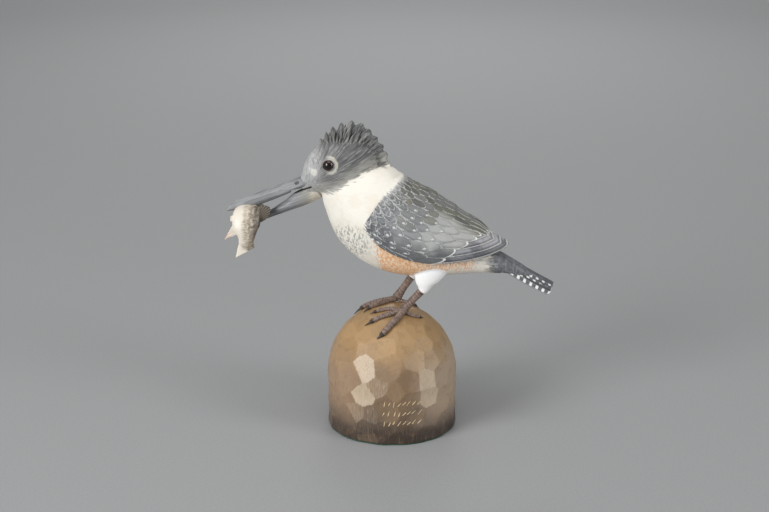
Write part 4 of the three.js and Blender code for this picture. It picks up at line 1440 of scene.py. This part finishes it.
def rock_top(x, y):
    """The height of the cut rock above a place."""
    share = min(0.999, math.hypot(x, y) / ROCK_RADIUS)
    rise = (1 - share**ROCK_DOME_POWER) ** (1 / ROCK_DOME_POWER)
    height = ROCK_SHOULDER + (ROCK_HEIGHT - ROCK_SHOULDER) * rise
    depth = deepest_cut(np.array([[x, y, height]]))[0][0]
    return height - depth / max(math.sin(rock_profile(height)[1]), 0.3)


ROCK_SIDES = 400
WALL_ROWS, DOME_ROWS = 56, 112


def cut_rock():
    """The dressed rock, closed with a flat foot."""
    heights = list(np.linspace(FELT_THICKNESS + GAP, ROCK_SHOULDER, WALL_ROWS + 1)[:-1])
    rises = np.sin(np.linspace(0, math.pi / 2, DOME_ROWS + 1)[:-1]) ** (2 / ROCK_DOME_POWER)
    heights += list(ROCK_SHOULDER + (ROCK_HEIGHT - ROCK_SHOULDER) * rises) + [ROCK_HEIGHT - 1e-3]
    places = [on_rock(360 * side / ROCK_SIDES, height) for height in heights for side in range(ROCK_SIDES)]
    uncut, facing = (np.array(part) for part in zip(*places))
    depth, number = deepest_cut(uncut)
    points = uncut - facing * depth[:, None]
    points[:ROCK_SIDES, 2] = heights[0]
    ring = np.arange(len(uncut)).reshape(-1, ROCK_SIDES)
    ring = np.hstack([ring, ring[:, :1]])
    faces = grid_faces(ring.T) + [tuple(range(ROCK_SIDES))[::-1], tuple(int(k) for k in ring[-1][:-1])]
    rock = mesh_object("knife_cut_rock", points, faces)
    # the strength of the painted reflection and sheen that each cut carries
    store(rock, "bright", np.array([0.0] + [cut[-1] for cut in CUTS])[number])
    store(rock, "tint", np.modf(number * TINT_STEP)[0])
    return weld(rock, 0.001), points[:ROCK_SIDES]


rock, rock_foot = cut_rock()
print("rock:", count_triangles(rock), "triangles,", len(CUTS), "cuts")

# %% [markdown]
# ## Rows of shallow strokes
# Low on the front are three rows of short slanted strokes, cut through the stain into the pale wood. They
# could be set one by one, but Geometry Nodes are made for such repeats. The tree lays out a small upright
# grid of points in front of the rock and casts a ray from each onto the rock. Where it lands, a boat-shaped
# cutter is set flat on the surface, its turn and length taken from a fixed seed. The cutters are taken out
# of the rock, and the cut faces keep the cutter's pale wood.

# %% Pale wood where the stain is cut through


def bare_wood():
    """Fresh-cut basswood: pale cream, matt, with fine grain 0.6 mm apart."""
    material, tree, place = start_paint("bare_cut_wood")
    grain = brush_noise(tree, place, (0.6, 0.6, 4))
    tone = lay_coats(tree, colour("#cdb48d"), [("#eadab9", 1.0, (grain, 0.4, 0.6))])
    return finish_paint(material, tone, grain, 0.1, {"Roughness": 0.72})


def rock_stain():
    """Satin stained wood, tan on top, darker grey brown at the foot, with a pale painted reflection on the
    flats.
    """
    material, tree, place = start_paint("rock_stain_and_painted_sheen")
    x, _, height = add(tree, "ShaderNodeSeparateXYZ", {"Vector": place}).node.outputs
    cloud = brush_noise(tree, place, (26, 26, 26))
    blotch = brush_noise(tree, place, (8, 8, 8), 5.0)
    scratch = brush_noise(tree, place, (0.7, 0.7, 9))
    tone = lay_coats(tree, colour("#3e322b"), [
        ("#5b4e43", 1.0, (height, 9, 24, cloud, 8)),
        ("#866e55", 1.0, (height, 14, 54, cloud, 26)),
        ("#a5896f", 0.6, (x, -12, -44, cloud, 12), (height, 6, 40)),
        ("#b19c86", 0.9, (x, 12, 40, cloud, 12), (height, 6, 36)),
        ("#a98960", 1.0, (height, 62, 94, cloud, 22)),
        ("#7c603f", 0.35, (blotch, 0.52, 0.68)),
        ("#c3a27a", 0.12, ("tint", 0.5, 1.0)),
        ("#4b3b30", 0.1, ("tint", 0.45, 0.0)),
        # pale painted reflection of the softboxes on the front flats, and a faint painted sheen on some other
        # cuts
        ("#d2c0a7", 0.72, ("bright", 0.1, 1.05, scratch, 0.4)),
        ("#dcc8a4", 0.1, (scratch, 0.52, 0.7)),
        ("#35291f", 0.14, (scratch, 0.42, 0.3)),
    ])
    return finish_paint(material, tone, blotch, 0.8, {"Roughness": 0.42})


BARE_WOOD, STAIN_AND_PAINTED_SHEEN = bare_wood(), rock_stain()

# %% The strokes' node tree
STROKE_SHIFT = 0.0006  # how far each may stray from its place in the grid
STROKE_SLANTS, STROKE_LENGTHS = (0.95, 1.35), (0.75, 1.15)  # in radians, and as shares of the stroke length
IN_FRONT, RAY_REACH = -0.08, 0.2  # where the rays start, and how far they go


def new_tree(name, numbers, *others):
    """A node tree with these number inputs, and one for each other (name, kind): tree, inputs, output."""
    tree = bpy.data.node_groups.new(name, "GeometryNodeTree")
    socket = tree.interface.new_socket
    socket("Geometry", in_out="OUTPUT", socket_type="NodeSocketGeometry")
    for label, kind in others:
        socket(label, in_out="INPUT", socket_type="NodeSocket" + kind)
    for label, value in numbers.items():
        kind = "Int" if isinstance(value, int) else "Float"
        socket(label, in_out="INPUT", socket_type="NodeSocket" + kind).default_value = value
    given = tree.nodes.new("NodeGroupInput").outputs
    return tree, given, tree.nodes.new("NodeGroupOutput").inputs["Geometry"]


def stroke_tree():
    """Rows of slanted boat-shaped cutters set on a block. Its sizes are in metres."""
    numbers = {"Strokes": 8, "Rows": 3, "Width": 0.0322, "Height": 0.019, "Left": 0.0085, "Up": 0.0315,
               "Stroke Length": 0.0064, "Stroke Width": 0.0009, "Seed": 4}
    tree, given, output = new_tree("stroke_rows", numbers, ("Block", "Object"), ("Wood", "Material"))
    grid = add(tree, "GeometryNodeMeshGrid", {
        "Size X": given["Width"], "Size Y": given["Height"],
        "Vertices X": given["Strokes"], "Vertices Y": given["Rows"]})
    middle = add(tree, "ShaderNodeCombineXYZ", {"X": given["Left"], "Y": IN_FRONT, "Z": given["Up"]})
    upright = add(tree, "GeometryNodeTransform", {
        "Geometry": grid, "Translation": middle, "Rotation": (math.pi / 2, 0, 0)})
    limits = [(sign * STROKE_SHIFT, 0, sign * STROKE_SHIFT) for sign in (-1, 1)]
    shift = add(tree, "FunctionNodeRandomValue", {0: limits[0], 1: limits[1], "Seed": given["Seed"]},
                data_type="FLOAT_VECTOR")
    places = add(tree, "GeometryNodeSetPosition", {"Geometry": upright, "Offset": shift})
    block = add(tree, "GeometryNodeObjectInfo", {"Object": given["Block"]}, out="Geometry")
    ray = add(tree, "GeometryNodeRaycast", {
        "Target Geometry": block, "Ray Direction": (0, 1, 0), "Ray Length": RAY_REACH}).node.outputs
    facing = add(tree, "GeometryNodeStoreNamedAttribute", {
        "Geometry": places, "Name": "facing", "Value": ray["Hit Normal"]}, data_type="FLOAT_VECTOR")
    landed = add(tree, "GeometryNodeSetPosition", {"Geometry": facing, "Position": ray["Hit Position"]})
    normal = add(tree, "GeometryNodeInputNamedAttribute", {"Name": "facing"}, data_type="FLOAT_VECTOR")
    flat = add(tree, "FunctionNodeAlignRotationToVector", {"Vector": normal}, axis="Z")
    slant, long = (add(tree, "FunctionNodeRandomValue", {2: least, 3: most, "Seed": given["Seed"]}, out=1)
                   for least, most in (STROKE_SLANTS, STROKE_LENGTHS))
    slant = add(tree, "ShaderNodeCombineXYZ", {"Z": slant})
    turn = add(tree, "FunctionNodeRotateRotation", {
        "Rotation": flat, "Rotate By": slant}, rotation_space="LOCAL")
    long = add(tree, "ShaderNodeMath", {0: long, 1: given["Stroke Length"]}, operation="MULTIPLY")
    size = add(tree, "ShaderNodeCombineXYZ", {
        "X": long, "Y": given["Stroke Width"], "Z": given["Stroke Width"]})
    boat = add(tree, "GeometryNodeMeshUVSphere", {"Segments": 12, "Rings": 6, "Radius": 0.5})
    strokes = add(tree, "GeometryNodeInstanceOnPoints", {
        "Points": landed, "Instance": boat, "Rotation": turn, "Scale": size})
    real = add(tree, "GeometryNodeRealizeInstances", {"Geometry": strokes})
    wooden = add(tree, "GeometryNodeSetMaterial", {"Geometry": real, "Material": given["Wood"]})
    tree.links.new(wooden, output)
    return tree


def keep_crisp(piece):
    """A sharp edge wherever stain meets bare wood."""
    shape = bmesh.new()
    shape.from_mesh(piece.data)
    for edge in shape.edges:
        edge.smooth = len({face.material_index for face in edge.link_faces}) == 1
    shape.to_mesh(piece.data)
    shape.free()


def grow_tree(piece, tree, **values):
    """Runs a node tree on a piece, with some inputs set by their socket, and keeps the plain mesh."""
    made = piece.modifiers.new("tree", "NODES")
    made.node_group = tree
    sockets = {item.name: item.identifier for item in tree.interface.items_tree if item.in_out == "INPUT"}
    for socket_name, value in values.items():
        made[sockets[socket_name]] = value
    return settle(piece)


wear(rock, STAIN_AND_PAINTED_SHEEN, BARE_WOOD)
nothing = mesh_object("stroke_rows", np.zeros((0, 3)), [])  # the tree makes all of it
strokes = grow_tree(nothing, stroke_tree(), Block=rock, Wood=BARE_WOOD)
print("strokes:", count_triangles(strokes), "triangles")
cut_away(rock, strokes)
keep_crisp(rock)
print("rock with strokes:", count_triangles(rock), "triangles,",
      [material.name for material in rock.data.materials if material])

# %% [markdown]
# ## The legs
# Each leg is a shank and four toes with claws, all lofts. A toe could be drawn in space, but then it would
# hardly touch an uneven rock all along. So it is drawn from above as a bent line, and each of its sections
# is set down on the rock, whose height is known everywhere.

# %% Shanks and toes
LEG_RADIUS = 3.9
CLAW_SHARE = 0.76
TOE_SHARES = (0, 0.2, 0.4, 0.6, CLAW_SHARE, 0.88, 1)
TOE_TAPER, CLAW_TAPER, TOE_DEPTH = 0.24, 0.72, 0.85
TOE_LIFT, ANKLE_LIFT = 0.72, 1.2  # a toe's middle lies this many of its half widths above the rock
SHANK = ((0, 1, 0.92), (0.5, 0.92, 0.85), (1, 1.2, 1.15))  # share of the way down, depth and width there
DOME_MIDDLE = np.array([0, 0, ROCK_SHOULDER])


def toe_row(share, toe, ankle):
    """One section of a toe, resting on the rock at this share of its length."""
    bend, tip, width = toe
    x, y = bezier(share, ankle[:2], bend, tip)
    claw = max(0.0, share - CLAW_SHARE) / (1 - CLAW_SHARE)
    half = width * (1 - TOE_TAPER * share) * (1 - CLAW_TAPER * claw)
    lift = GAP + half * (ANKLE_LIFT if share == 0 else TOE_LIFT)
    middle = np.array([x, y, rock_top(x, y)])
    middle = middle + unit(middle - DOME_MIDDLE) * lift
    return (*middle, half * TOE_DEPTH, half * TOE_DEPTH, half)


def toe_rows(toe, ankle):
    return [toe_row(share, toe, ankle) for share in TOE_SHARES]


def shank_rows(limb):
    return [(*bezier(share, limb["knee"], limb["ankle"]), LEG_RADIUS * deep, LEG_RADIUS * deep,
             LEG_RADIUS * wide) for share, deep, wide in SHANK]


def toe_across(toe, ankle):
    x, y = unit(np.array(toe[1], float) - np.array(ankle[:2]))
    return (-y, x, 0)


# %% [markdown]
# ## Horny scutes by node tree
# The skin of a bird's foot is a row of horny scutes, which the carver cuts as rings. The tree takes the
# middle lines of shank and toes as a mesh of edges. It turns them into curves, cuts these at even steps, and
# sets a bead on every step. A bead is a ball squeezed along the toe, so its rim stands just proud of the toe
# and the next bead starts in the groove behind it. Each is tilted a little at random, as cuts made by eye
# are. It carries a number that is 1 on its rim, so that the paint can lay a painted highlight on the rims and
# painted shade in the grooves.

# %% The scutes' node tree


def horn_paint():
    """Dull brown paint over carved scutes, with painted shade in the grooves and a painted highlight on their
    rims.
    """
    material, tree, place = start_paint("painted_horn")
    patches = brush_noise(tree, place, (3, 3, 3))
    specks = brush_noise(tree, place, (0.9, 0.9, 0.9))
    tone = lay_coats(tree, colour("#705e54"), [
        # painted highlight on the scutes' rims; the grooves keep the darker ground as painted shade
        ("#998478", 0.65, ("scute", 0.2, 0.9, specks, 1.2)),
        ("#4b3b34", 0.6, (patches, 0.48, 0.62)),
        ("#b3a096", 0.4, ("scute", 0.6, 1.0), (specks, 0.52, 0.65)),
        ("#3b322e", 1.0, ("claw", 0.2, 0.6)),
    ])
    return finish_paint(material, tone, specks, 0.2, {"Roughness": 0.5})


def scute_tree():
    numbers = {"Spacing": 0.0019, "Proud": 1.05, "Fullness": 0.95, "Unevenness": 0.3, "Seed": 2}
    tree, given, output = new_tree("horny_scutes", numbers, ("Geometry", "Geometry"), ("Paint", "Material"))
    half = add(tree, "GeometryNodeInputNamedAttribute", {"Name": "half"}, data_type="FLOAT")
    line = add(tree, "GeometryNodeMeshToCurve", {"Mesh": given["Geometry"]})
    steps = add(tree, "GeometryNodeResampleCurve", {"Curve": line, "Length": given["Spacing"]}, mode="LENGTH")
    along = add(tree, "GeometryNodeInputTangent")
    facing = add(tree, "FunctionNodeAlignRotationToVector", {"Vector": along}, axis="Z")
    least = add(tree, "ShaderNodeMath", {0: 0.0, 1: given["Unevenness"]}, operation="SUBTRACT")
    tilt = add(tree, "FunctionNodeRandomValue", {0: least, 1: given["Unevenness"], "Seed": given["Seed"]},
               data_type="FLOAT_VECTOR")
    facing = add(tree, "FunctionNodeRotateRotation", {
        "Rotation": facing, "Rotate By": tilt}, rotation_space="LOCAL")
    ball = add(tree, "GeometryNodeMeshUVSphere", {"Segments": 20, "Rings": 8, "Radius": 1.0})
    height = add(tree, "ShaderNodeSeparateXYZ", {"Vector": add(tree, "GeometryNodeInputPosition")}, out="Z")
    from_rim = add(tree, "ShaderNodeMath", {0: height}, operation="ABSOLUTE")
    rim = add(tree, "ShaderNodeMath", {0: 1.0, 1: from_rim}, operation="SUBTRACT")
    bead = add(tree, "GeometryNodeStoreNamedAttribute", {"Geometry": ball, "Name": "scute", "Value": rim})
    wide = add(tree, "ShaderNodeMath", {0: half, 1: given["Proud"]}, operation="MULTIPLY")
    deep = add(tree, "ShaderNodeMath", {0: given["Spacing"], 1: given["Fullness"]}, operation="MULTIPLY")
    size = add(tree, "ShaderNodeCombineXYZ", {"X": wide, "Y": wide, "Z": deep})
    beads = add(tree, "GeometryNodeInstanceOnPoints", {
        "Points": steps, "Instance": bead, "Rotation": facing, "Scale": size})
    real = add(tree, "GeometryNodeRealizeInstances", {"Geometry": beads})
    smooth = add(tree, "GeometryNodeSetShadeSmooth", {"Geometry": real})
    painted = add(tree, "GeometryNodeSetMaterial", {"Geometry": smooth, "Material": given["Paint"]})
    tree.links.new(painted, output)
    return tree


HORN, SCUTE_TREE = horn_paint(), scute_tree()


def middle_line(rows, upto):
    """Points along a limb's middle and its half width there, up to a share of its length."""
    shares = np.linspace(0.02, upto, 40)
    rows = np.asarray(rows, float)
    return spline(rows[:, :3], shares, True), spline(rows[:, 3:], shares, False)[:, 2]


# %% Assemble each leg
GROOVE = 0.3  # how far the skin between the scutes lies below their rims
SHANK_SHARE = 0.94  # the scutes end here, where the toes begin


def scutes_along(name, lines):
    """The scutes of one leg, from points and half widths along its limbs."""
    spine = mesh_object(name, np.vstack([points for points, _ in lines]), [])
    count = len(lines[0][0])
    edges = [(k, k + 1) for k in range(count * len(lines) - 1) if (k + 1) % count]
    spine.data.edges.add(len(edges))
    spine.data.edges.foreach_set("vertices", np.array(edges).ravel())
    store(spine, "half", np.concatenate([half for _, half in lines]) * MM)
    return grow_tree(spine, SCUTE_TREE, Paint=HORN)


def leg_piece(name, limb):
    """A shank, four toes and their scutes, as one mesh."""
    ankle = limb["ankle"]
    limbs = [(shank_rows(limb), ACROSS_BIRD, SHANK_SHARE)]
    limbs += [(toe_rows(toe, ankle), toe_across(toe, ankle), CLAW_SHARE) for toe in limb["toes"]]
    lofts = [loft(rows, sides=32, steps=8, across=across, grow=-GROOVE) for rows, across, _ in limbs]
    leg = mesh_object(name, *together(*lofts))
    spine = scutes_along(name + "_scutes", [middle_line(rows, upto) for rows, _, upto in limbs])
    store(leg, "scute", np.zeros(len(leg.data.vertices)))
    wear(leg, HORN)
    with bpy.context.temp_override(active_object=leg, selected_editable_objects=[leg, spine]):
        bpy.ops.object.join()
    points, claw = points_of(leg), np.zeros(len(leg.data.vertices))
    for rows, _, _ in limbs[1:]:
        tip, start = np.array(rows[-1][:3]), np.array(rows[-3][:3])
        nearness = np.linalg.norm(points - tip, axis=1) / np.linalg.norm(start - tip)
        claw = np.maximum(claw, smoothstep(1.05, 0.85, nearness))
    store(leg, "claw", claw)
    print(name, count_triangles(leg), "triangles")
    return leg


legs = {name: leg_piece(name + "_carved", limb) for name, limb in LEGS.items()}

# %% [markdown]
# ## Paint for the plumage
# Now the coats. The hood is laid in with greys, in strokes that fan from the face: a broad noise gives the
# darker and lighter passages, and a narrow one the single pale and dark hairs of the brush. The collar is
# nearly even cream, the breast has small grey flecks, and the belly band is flecked rust over cream. Because
# every edge is a stored distance in millimetres, a stroke noise can pull it in and out, which gives the
# ragged edge of real brushwork. The paint is matt acrylic over carved wood: IOR 1.5, roughness about 0.6.

# %% Hood, collar, breast and belly


def plumage_paint():
    """Matt acrylic on carved wood: streaked grey hood and crest, cream collar and breast, rust belly."""
    material, tree, place = start_paint("painted_plumage")
    flow = add(tree, "ShaderNodeAttribute", out="Vector", attribute_name="flow")
    x = add(tree, "ShaderNodeSeparateXYZ", {"Vector": place}, out="X")
    wide = brush_noise(tree, flow, (3.0, 26, 14))
    narrow = brush_noise(tree, flow, (0.9, 15, 8), 2.0)
    edge = brush_noise(tree, flow, (1.4, 11, 8))
    rows = brush_noise(tree, place, (9, 2.4, 1.8))
    blots = brush_noise(tree, place, (2.4, 2.4, 4.4))
    specks = brush_noise(tree, place, (1.6, 1.6, 4.0), 2.0)
    cloud = brush_noise(tree, place, (16, 16, 16))
    hood = lay_coats(tree, colour("#686868"), [
        ("#848483", 0.9, (wide, 0.42, 0.6)),
        ("#b6b7b7", 0.85, (x, -60, -74)),
        ("#454546", 0.6, ("reach", 30, 52)),
        ("#b1afa6", 0.75, ("hood", 13, 3)),
        ("#a6a6a3", 0.55, (narrow, 0.52, 0.66)),
        ("#3c3c3d", 0.6, (narrow, 0.46, 0.34)),
        ("#c6c6c2", 0.35, (specks, 0.53, 0.64), (x, -58, -70)),
        ("#58585a", 0.5, (specks, 0.44, 0.34), (x, -58, -70)),
        ("#dddbd2", 0.75, ("lore", 1.2, -1.0, specks, 3.5)),
        ("#dddacc", 0.65, ("eye_ring", 9.0, 7.4, blots, 1.5), ("eye_ring", 5.2, 6.2), ("behind_eye", -4, 2)),
        ("#191817", 0.95, ("mouth", 1.15, 0.65)),
    ])
    rust = lay_coats(tree, colour("#fbdcb9"), [
        ("#edbc8e", 0.75, (blots, 0.36, 0.56)),
        # paler towards the rear of the band: painted light where the wing shades the belly
        ("#fff0dd", 0.55, (x, 14, 46)),
        ("#da9156", 0.6, (specks, 0.47, 0.62)),
        ("#fbeedd", 0.55, (specks, 0.46, 0.34)),
    ])
    slate = lay_coats(tree, colour("#5a5c60"), [
        ("#7d8084", 0.8, (blots, 0.4, 0.6)),
        ("#d8d9d5", 0.6, (rows, 0.5, 0.62), (x, 102, 84)),
    ])
    tone = lay_coats(tree, colour("#ece8de"), [
        ("#e6decf", 0.7, (cloud, 0.45, 0.65)),
        ("#94958d", 0.85, ("breast", 23, 10), (blots, 0.36, 0.52), (specks, 0.43, 0.57)),
        (rust, 1.0, ("belly", -2.5, 2.5, specks, 13)),
        (slate, 1.0, ("mantle", 5, 8)),
        (slate, 1.0, ("rump", -4, 4, rows, 17)),
        ("#ffffff", 1.0, ("thigh", 0.3, 0.7)),
        (hood, 1.0, ("hood", -1.2, 1.2, edge, 8)),
    ])
    return finish_paint(material, tone, narrow, 0.5, {"Roughness": 0.6})


PLUMAGE = plumage_paint()
wear(bird, PLUMAGE)
wear(crest, PLUMAGE)
print("painted:", PLUMAGE.name)

# %% [markdown]
# ## Paint for the wings
# The painter laid a slate ground, glazed it olive on the back and paler on the secondaries and primaries,
# then drew a thin pale line along the feathers' edges, a white dot on the coverts, and a thick white line
# along the tips of the secondaries. The stored distances make each of these a coat with one or two edges.

# %% Wing feathers


def wing_paint():
    """Matt slate acrylic with fine pale feather edges and white spots."""
    material, tree, place = start_paint("painted_wing_feathers", "wing_place")
    back, down, _ = add(tree, "ShaderNodeSeparateXYZ", {"Vector": place}).node.outputs
    cloud = brush_noise(tree, place, (24, 24, 60), 2.0)
    barbs = brush_noise(tree, place, (6, 0.8, 3))
    broken = brush_noise(tree, place, (2.2, 1.4, 3), 2.0)
    curls = add(tree, "ShaderNodeMapping", {"Vector": place, "Scale": (0.14, 0.17, 0.002)})
    curls = add(tree, "ShaderNodeTexNoise", {"Vector": curls, "Scale": 1.0, "Detail": 1.0, "Distortion": 1.2})
    primaries, row_8 = ("row", 8.4, 8.8), (("row", 7.5, 7.9), ("row", 8.5, 8.1))
    tone = lay_coats(tree, colour("#787a7d"), [
        ("#8f9192", 0.8, (cloud, 0.4, 0.62)),
        ("#5b5b54", 0.9, (down, 52, 30), (cloud, 0.2, 0.45)),
        ("#85826f", 0.45, ("tone", 0.55, 0.95), (down, 62, 42)),
        ("#97999a", 0.4, ("tone", 0.45, 0.05)),
        ("#bdbebb", 0.78, ("row", 4.4, 6.6), (down, 20, 30)),
        ("#46494e", 0.85, ("above_edge", 24, 9, cloud, 12), ("row", 8.4, 8.0)),
        ("#76767c", 1.0, primaries),
        ("#b2b2b7", 0.8, primaries, (cloud, 0.36, 0.54)),
        # painted shade just inside each feather's free edge, where it steps down onto the next row
        ("#3f4144", 0.4, ("fringe", 3.4, 0.9)),
        ("#4a4c52", 0.65, ("above_edge", 15, 5), primaries),
        # painted shade along each primary's free edge
        ("#3a3c42", 0.6, primaries, ("fringe", 3.4, 1.6)),
        ("#c2c5c6", 0.2, (barbs, 0.52, 0.7)),
        ("#34373a", 0.25, (barbs, 0.44, 0.3)),
        ("#c0c1bf", 0.85, ("fringe", 1.5, 0.6), ("exposed", 1.5, 5), (broken, 0.3, 0.42)),
        ("#d2d3d2", 0.5, ("fringe", 1.3, 0.6), primaries),
        ("#bdbeb6", 0.65, ("fringe", 2.2, 1.0), (down, 34, 20), (broken, 0.4, 0.5)),
        ("#eceee9", 0.92, ("to_tip", 2.6, 1.4, broken, 0.9), *row_8),
        ("#d4d6d4", 0.9, ("spot", 1.15, 0.6), (down, 30, 36)),
        ("#bfc1c2", 0.42, (curls, 0.45, 0.49), (curls, 0.55, 0.51), (back, 26, 14), (down, 20, 30)),
        ("#cbcdcd", 0.4, ("mantle", 12, 2, broken, 5), (down, 46, 30)),
        ("#ece8de", 1.0, ("mantle", 3.2, -2.0, broken, 9)),
    ])
    return finish_paint(material, tone, barbs, 0.35, {"Roughness": 0.52})


wear(wings, wing_paint())
print("painted:", wings.data.materials[0].name)

# %% [markdown]
# ## Paint for the tail, bill and fish
# The tail is dark slate on top, and its outer feathers carry rows of white dashes 6.6 mm apart and pale
# tips. The bill is matt blue grey in streaks along it, darker at the tip of the lower half, cream where that
# meets the chin, and black between the halves. The fish is cream below and grey brown above, with fine bars.

# %% Tail, bill and fish


def tail_paint():
    """Matt dark slate, white dashes on the webs of the outer feathers."""
    material, tree, feather = start_paint("painted_tail_feathers", "feather")
    grain = brush_noise(tree, feather, (0.4, 0.12, 9))
    broken = brush_noise(tree, feather, (0.5, 0.2, 1.6))
    tone = lay_coats(tree, colour("#515358"), [
        ("#6d7075", 0.9, (grain, 0.4, 0.62)),
        ("#38393c", 0.6, (grain, 0.42, 0.3)),
        ("#34353a", 0.9, ("middle", 0.14, 0.05)),
        ("#9a9da0", 0.65, ("middle", 0.84, 0.95)),
        ("#edeeea", 0.95, ("to_dash", 1.75, 0.95, broken, 0.9), ("outward", 0.2, 0.4), ("outward", 0.95, 0.8),
         ("along", 18, 24), ("outer", 0.4, 0.8)),
        ("#d6d6d2", 0.6, ("along", 72.2, 73.6, broken, 0.8), ("outer", 0.6, 1.6)),
    ])
    return finish_paint(material, tone, grain, 0.3, {"Roughness": 0.5})


def bill_paint():
    """Matt blue-grey acrylic over sanded wood, streaked along the bill."""
    material, tree, place = start_paint("painted_bill")
    x = add(tree, "ShaderNodeSeparateXYZ", {"Vector": place}, out="X")
    along = add(tree, "ShaderNodeMapping", {"Vector": place, "Rotation": (0, math.radians(21), 0)})
    brush = brush_noise(tree, along, (22, 4, 1.1))
    wide = brush_noise(tree, along, (30, 8, 4))
    lower = ("lower_half", 0, 1)
    tone = lay_coats(tree, colour("#767779"), [
        ("#919294", 0.8, (wide, 0.42, 0.6)),
        ("#9fa1a4", 0.5, (brush, 0.52, 0.66)),
        ("#4d4f53", 0.55, (brush, 0.46, 0.34)),
        ("#3c3d40", 0.8, lower, (x, -98, -116, brush, 14)),
        ("#a9a69a", 0.5, lower, (x, -90, -76)),
        ("#d9d0bf", 0.8, lower, (x, -77, -71, brush, 10)),
        ("#1d1c1c", 0.95, ("in_mouth", 0.74, 0.9)),
        ("#191817", 0.95, ("mouth", 1.15, 0.65)),
        ("#4a4b4f", 0.9, ("nostril", 0.1, 0.6)),
    ])
    return finish_paint(material, tone, brush, 0.12, {"Roughness": 0.58})


def fish_paint():
    """Satin acrylic: cream belly, grey-brown back with fine bars, pink-tipped fins."""
    material, tree, place = start_paint("painted_fish", "fish_place")
    along, side, _ = add(tree, "ShaderNodeSeparateXYZ", {"Vector": place}).node.outputs
    bars = brush_noise(tree, place, (1.4, 6, 8), 2.0)
    mottle = brush_noise(tree, place, (2.4, 2.4, 3))
    tone = lay_coats(tree, colour("#e0d8ca"), [
        ("#bbae9b", 0.8, (side, -5, 0, mottle, 4)),
        ("#857a6c", 0.75, (side, -1, 5, mottle, 5)),
        ("#5f564d", 0.5, (bars, 0.5, 0.6), (side, -6, 1)),
        ("#d3c8b6", 0.6, (mottle, 0.5, 0.42), (side, -4, 2)),
        ("#463f38", 0.6, (side, 5, 8, mottle, 2)),
        ("#e9e0d0", 0.9, (along, 84, 89)),
        ("#4a4239", 1.0, ("fin", 0.2, 0.6), (side, 4, 7)),
        ("#b5aa98", 0.6, ("ray", 0.4, 1.0), ("fin", 0.2, 0.6), (side, 4, 7)),
        ("#d9a892", 0.75, (side, -13, -19)),
    ])
    return finish_paint(material, tone, mottle, 0.2, {"Roughness": 0.4})


BILL_PAINT = bill_paint()
PAINTED = [(tail, tail_paint()), (upper_bill, BILL_PAINT), (lower_bill, BILL_PAINT), (fish, fish_paint())]
for piece, paint in PAINTED:
    wear(piece, paint)
    print(f"{piece.name}: {paint.name}")

# %% [markdown]
# ## Glass and felt
# Glass has IOR 1.5 and is nearly mirror smooth, so the left and right softboxes show in it as two small
# glints. The felt is wool fibre: matt, with a soft sheen at its edge.

# %% Glass and felt


def eye_glass():
    """Polished glass over a dark brown iris and a black pupil."""
    material, tree, place = start_paint("dark_glass_eye")
    fibres = brush_noise(tree, place, (0.8, 0.8, 0.8), 2.0)
    tone = lay_coats(tree, colour("#040303"), [
        ("#2c1611", 1.0, ("from_pupil", 26, 33)),
        ("#563a30", 0.9, ("from_pupil", 32, 44), (fibres, 0.4, 0.6)),
        ("#1a0c08", 0.9, ("from_pupil", 56, 64)),
    ])
    return finish_paint(material, tone, fibres, 0.0, {"Roughness": 0.03, "Specular IOR Level": 0.6})


def wool_felt():
    """Dark green wool felt, fibres about 0.4 mm apart."""
    material, tree, place = start_paint("green_felt")
    fibres = brush_noise(tree, place, (0.4, 0.4, 0.4))
    tone = lay_coats(tree, colour("#1f3a2c"), [("#3b5f4a", 1.0, (fibres, 0.3, 0.7))])
    return finish_paint(material, tone, fibres, 0.3, {"Roughness": 0.95, "Sheen Weight": 0.3})


EYE_GLASS = eye_glass()
for eye in eyes:
    wear(eye, EYE_GLASS)
print("eyes:", EYE_GLASS.name)

# %% [markdown]
# ## The felt pad
# Under the rock is a pad of green felt, glued on so that it doesn't scratch a shelf. It follows the rock's
# foot, a hair smaller. It is a disc made of rings of points, not a cylinder, so that its cut edge can waver
# and its rim can be rounded.

# %% Felt
FELT_INSET, FELT_WAVER = 0.9, 0.25
FELT_RINGS = ((0.0, 0.25), (0.3, 0.0), (1.2, 0.0), (FELT_THICKNESS, 0.2))  # height, and how far in


def felt_pad():
    points = []
    for height, tuck in FELT_RINGS:
        for foot in rock_foot:
            radius = np.linalg.norm(foot[:2])
            outward = foot * (1, 1, 0) / radius
            waver = FELT_WAVER * noise.noise(Vector(outward * 6))
            points.append(outward * (radius - FELT_INSET - tuck + waver) + (0, 0, height))
    ring = tuple(range(ROCK_SIDES))
    faces = ring_faces(len(FELT_RINGS), ROCK_SIDES)
    faces += [ring[::-1], tuple(len(points) - ROCK_SIDES + side for side in ring)]
    pad = weld(mesh_object("green_felt_pad", points, faces), 0.001)
    wear(pad, wool_felt())
    return pad


felt = felt_pad()

# %% [markdown]
# ## Put every piece in its place
# Nothing on the carving moves, so every piece rides on the one body. Each row of the table gives a piece,
# the name of one of the record's finishes, and the CAD nodes that it stands for, which are hidden. Last, the
# number of triangles in each piece is printed.

# %% Ride and replace
PIECES = [
    (bird, "bird_paint", "kingfisher"),
    *((piece, "bird_paint") for piece in (crest, wings, tail, upper_bill, lower_bill)),
    (eyes[0], "eye_glass", "left_eye"),
    (eyes[1], "eye_glass", "right_eye"),
    (fish, "fish_paint", "fish"),
    *((leg, "leg_paint", node) for node, leg in legs.items()),
    (rock, "rock_stain", "rock_base"),
    (felt, "felt", "felt_pad"),
]
for piece, slot_name, *nodes in PIECES:
    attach(piece, "root")
    if nodes:
        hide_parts(*nodes)
    print(f"{piece.name}: {count_triangles(piece)} triangles")
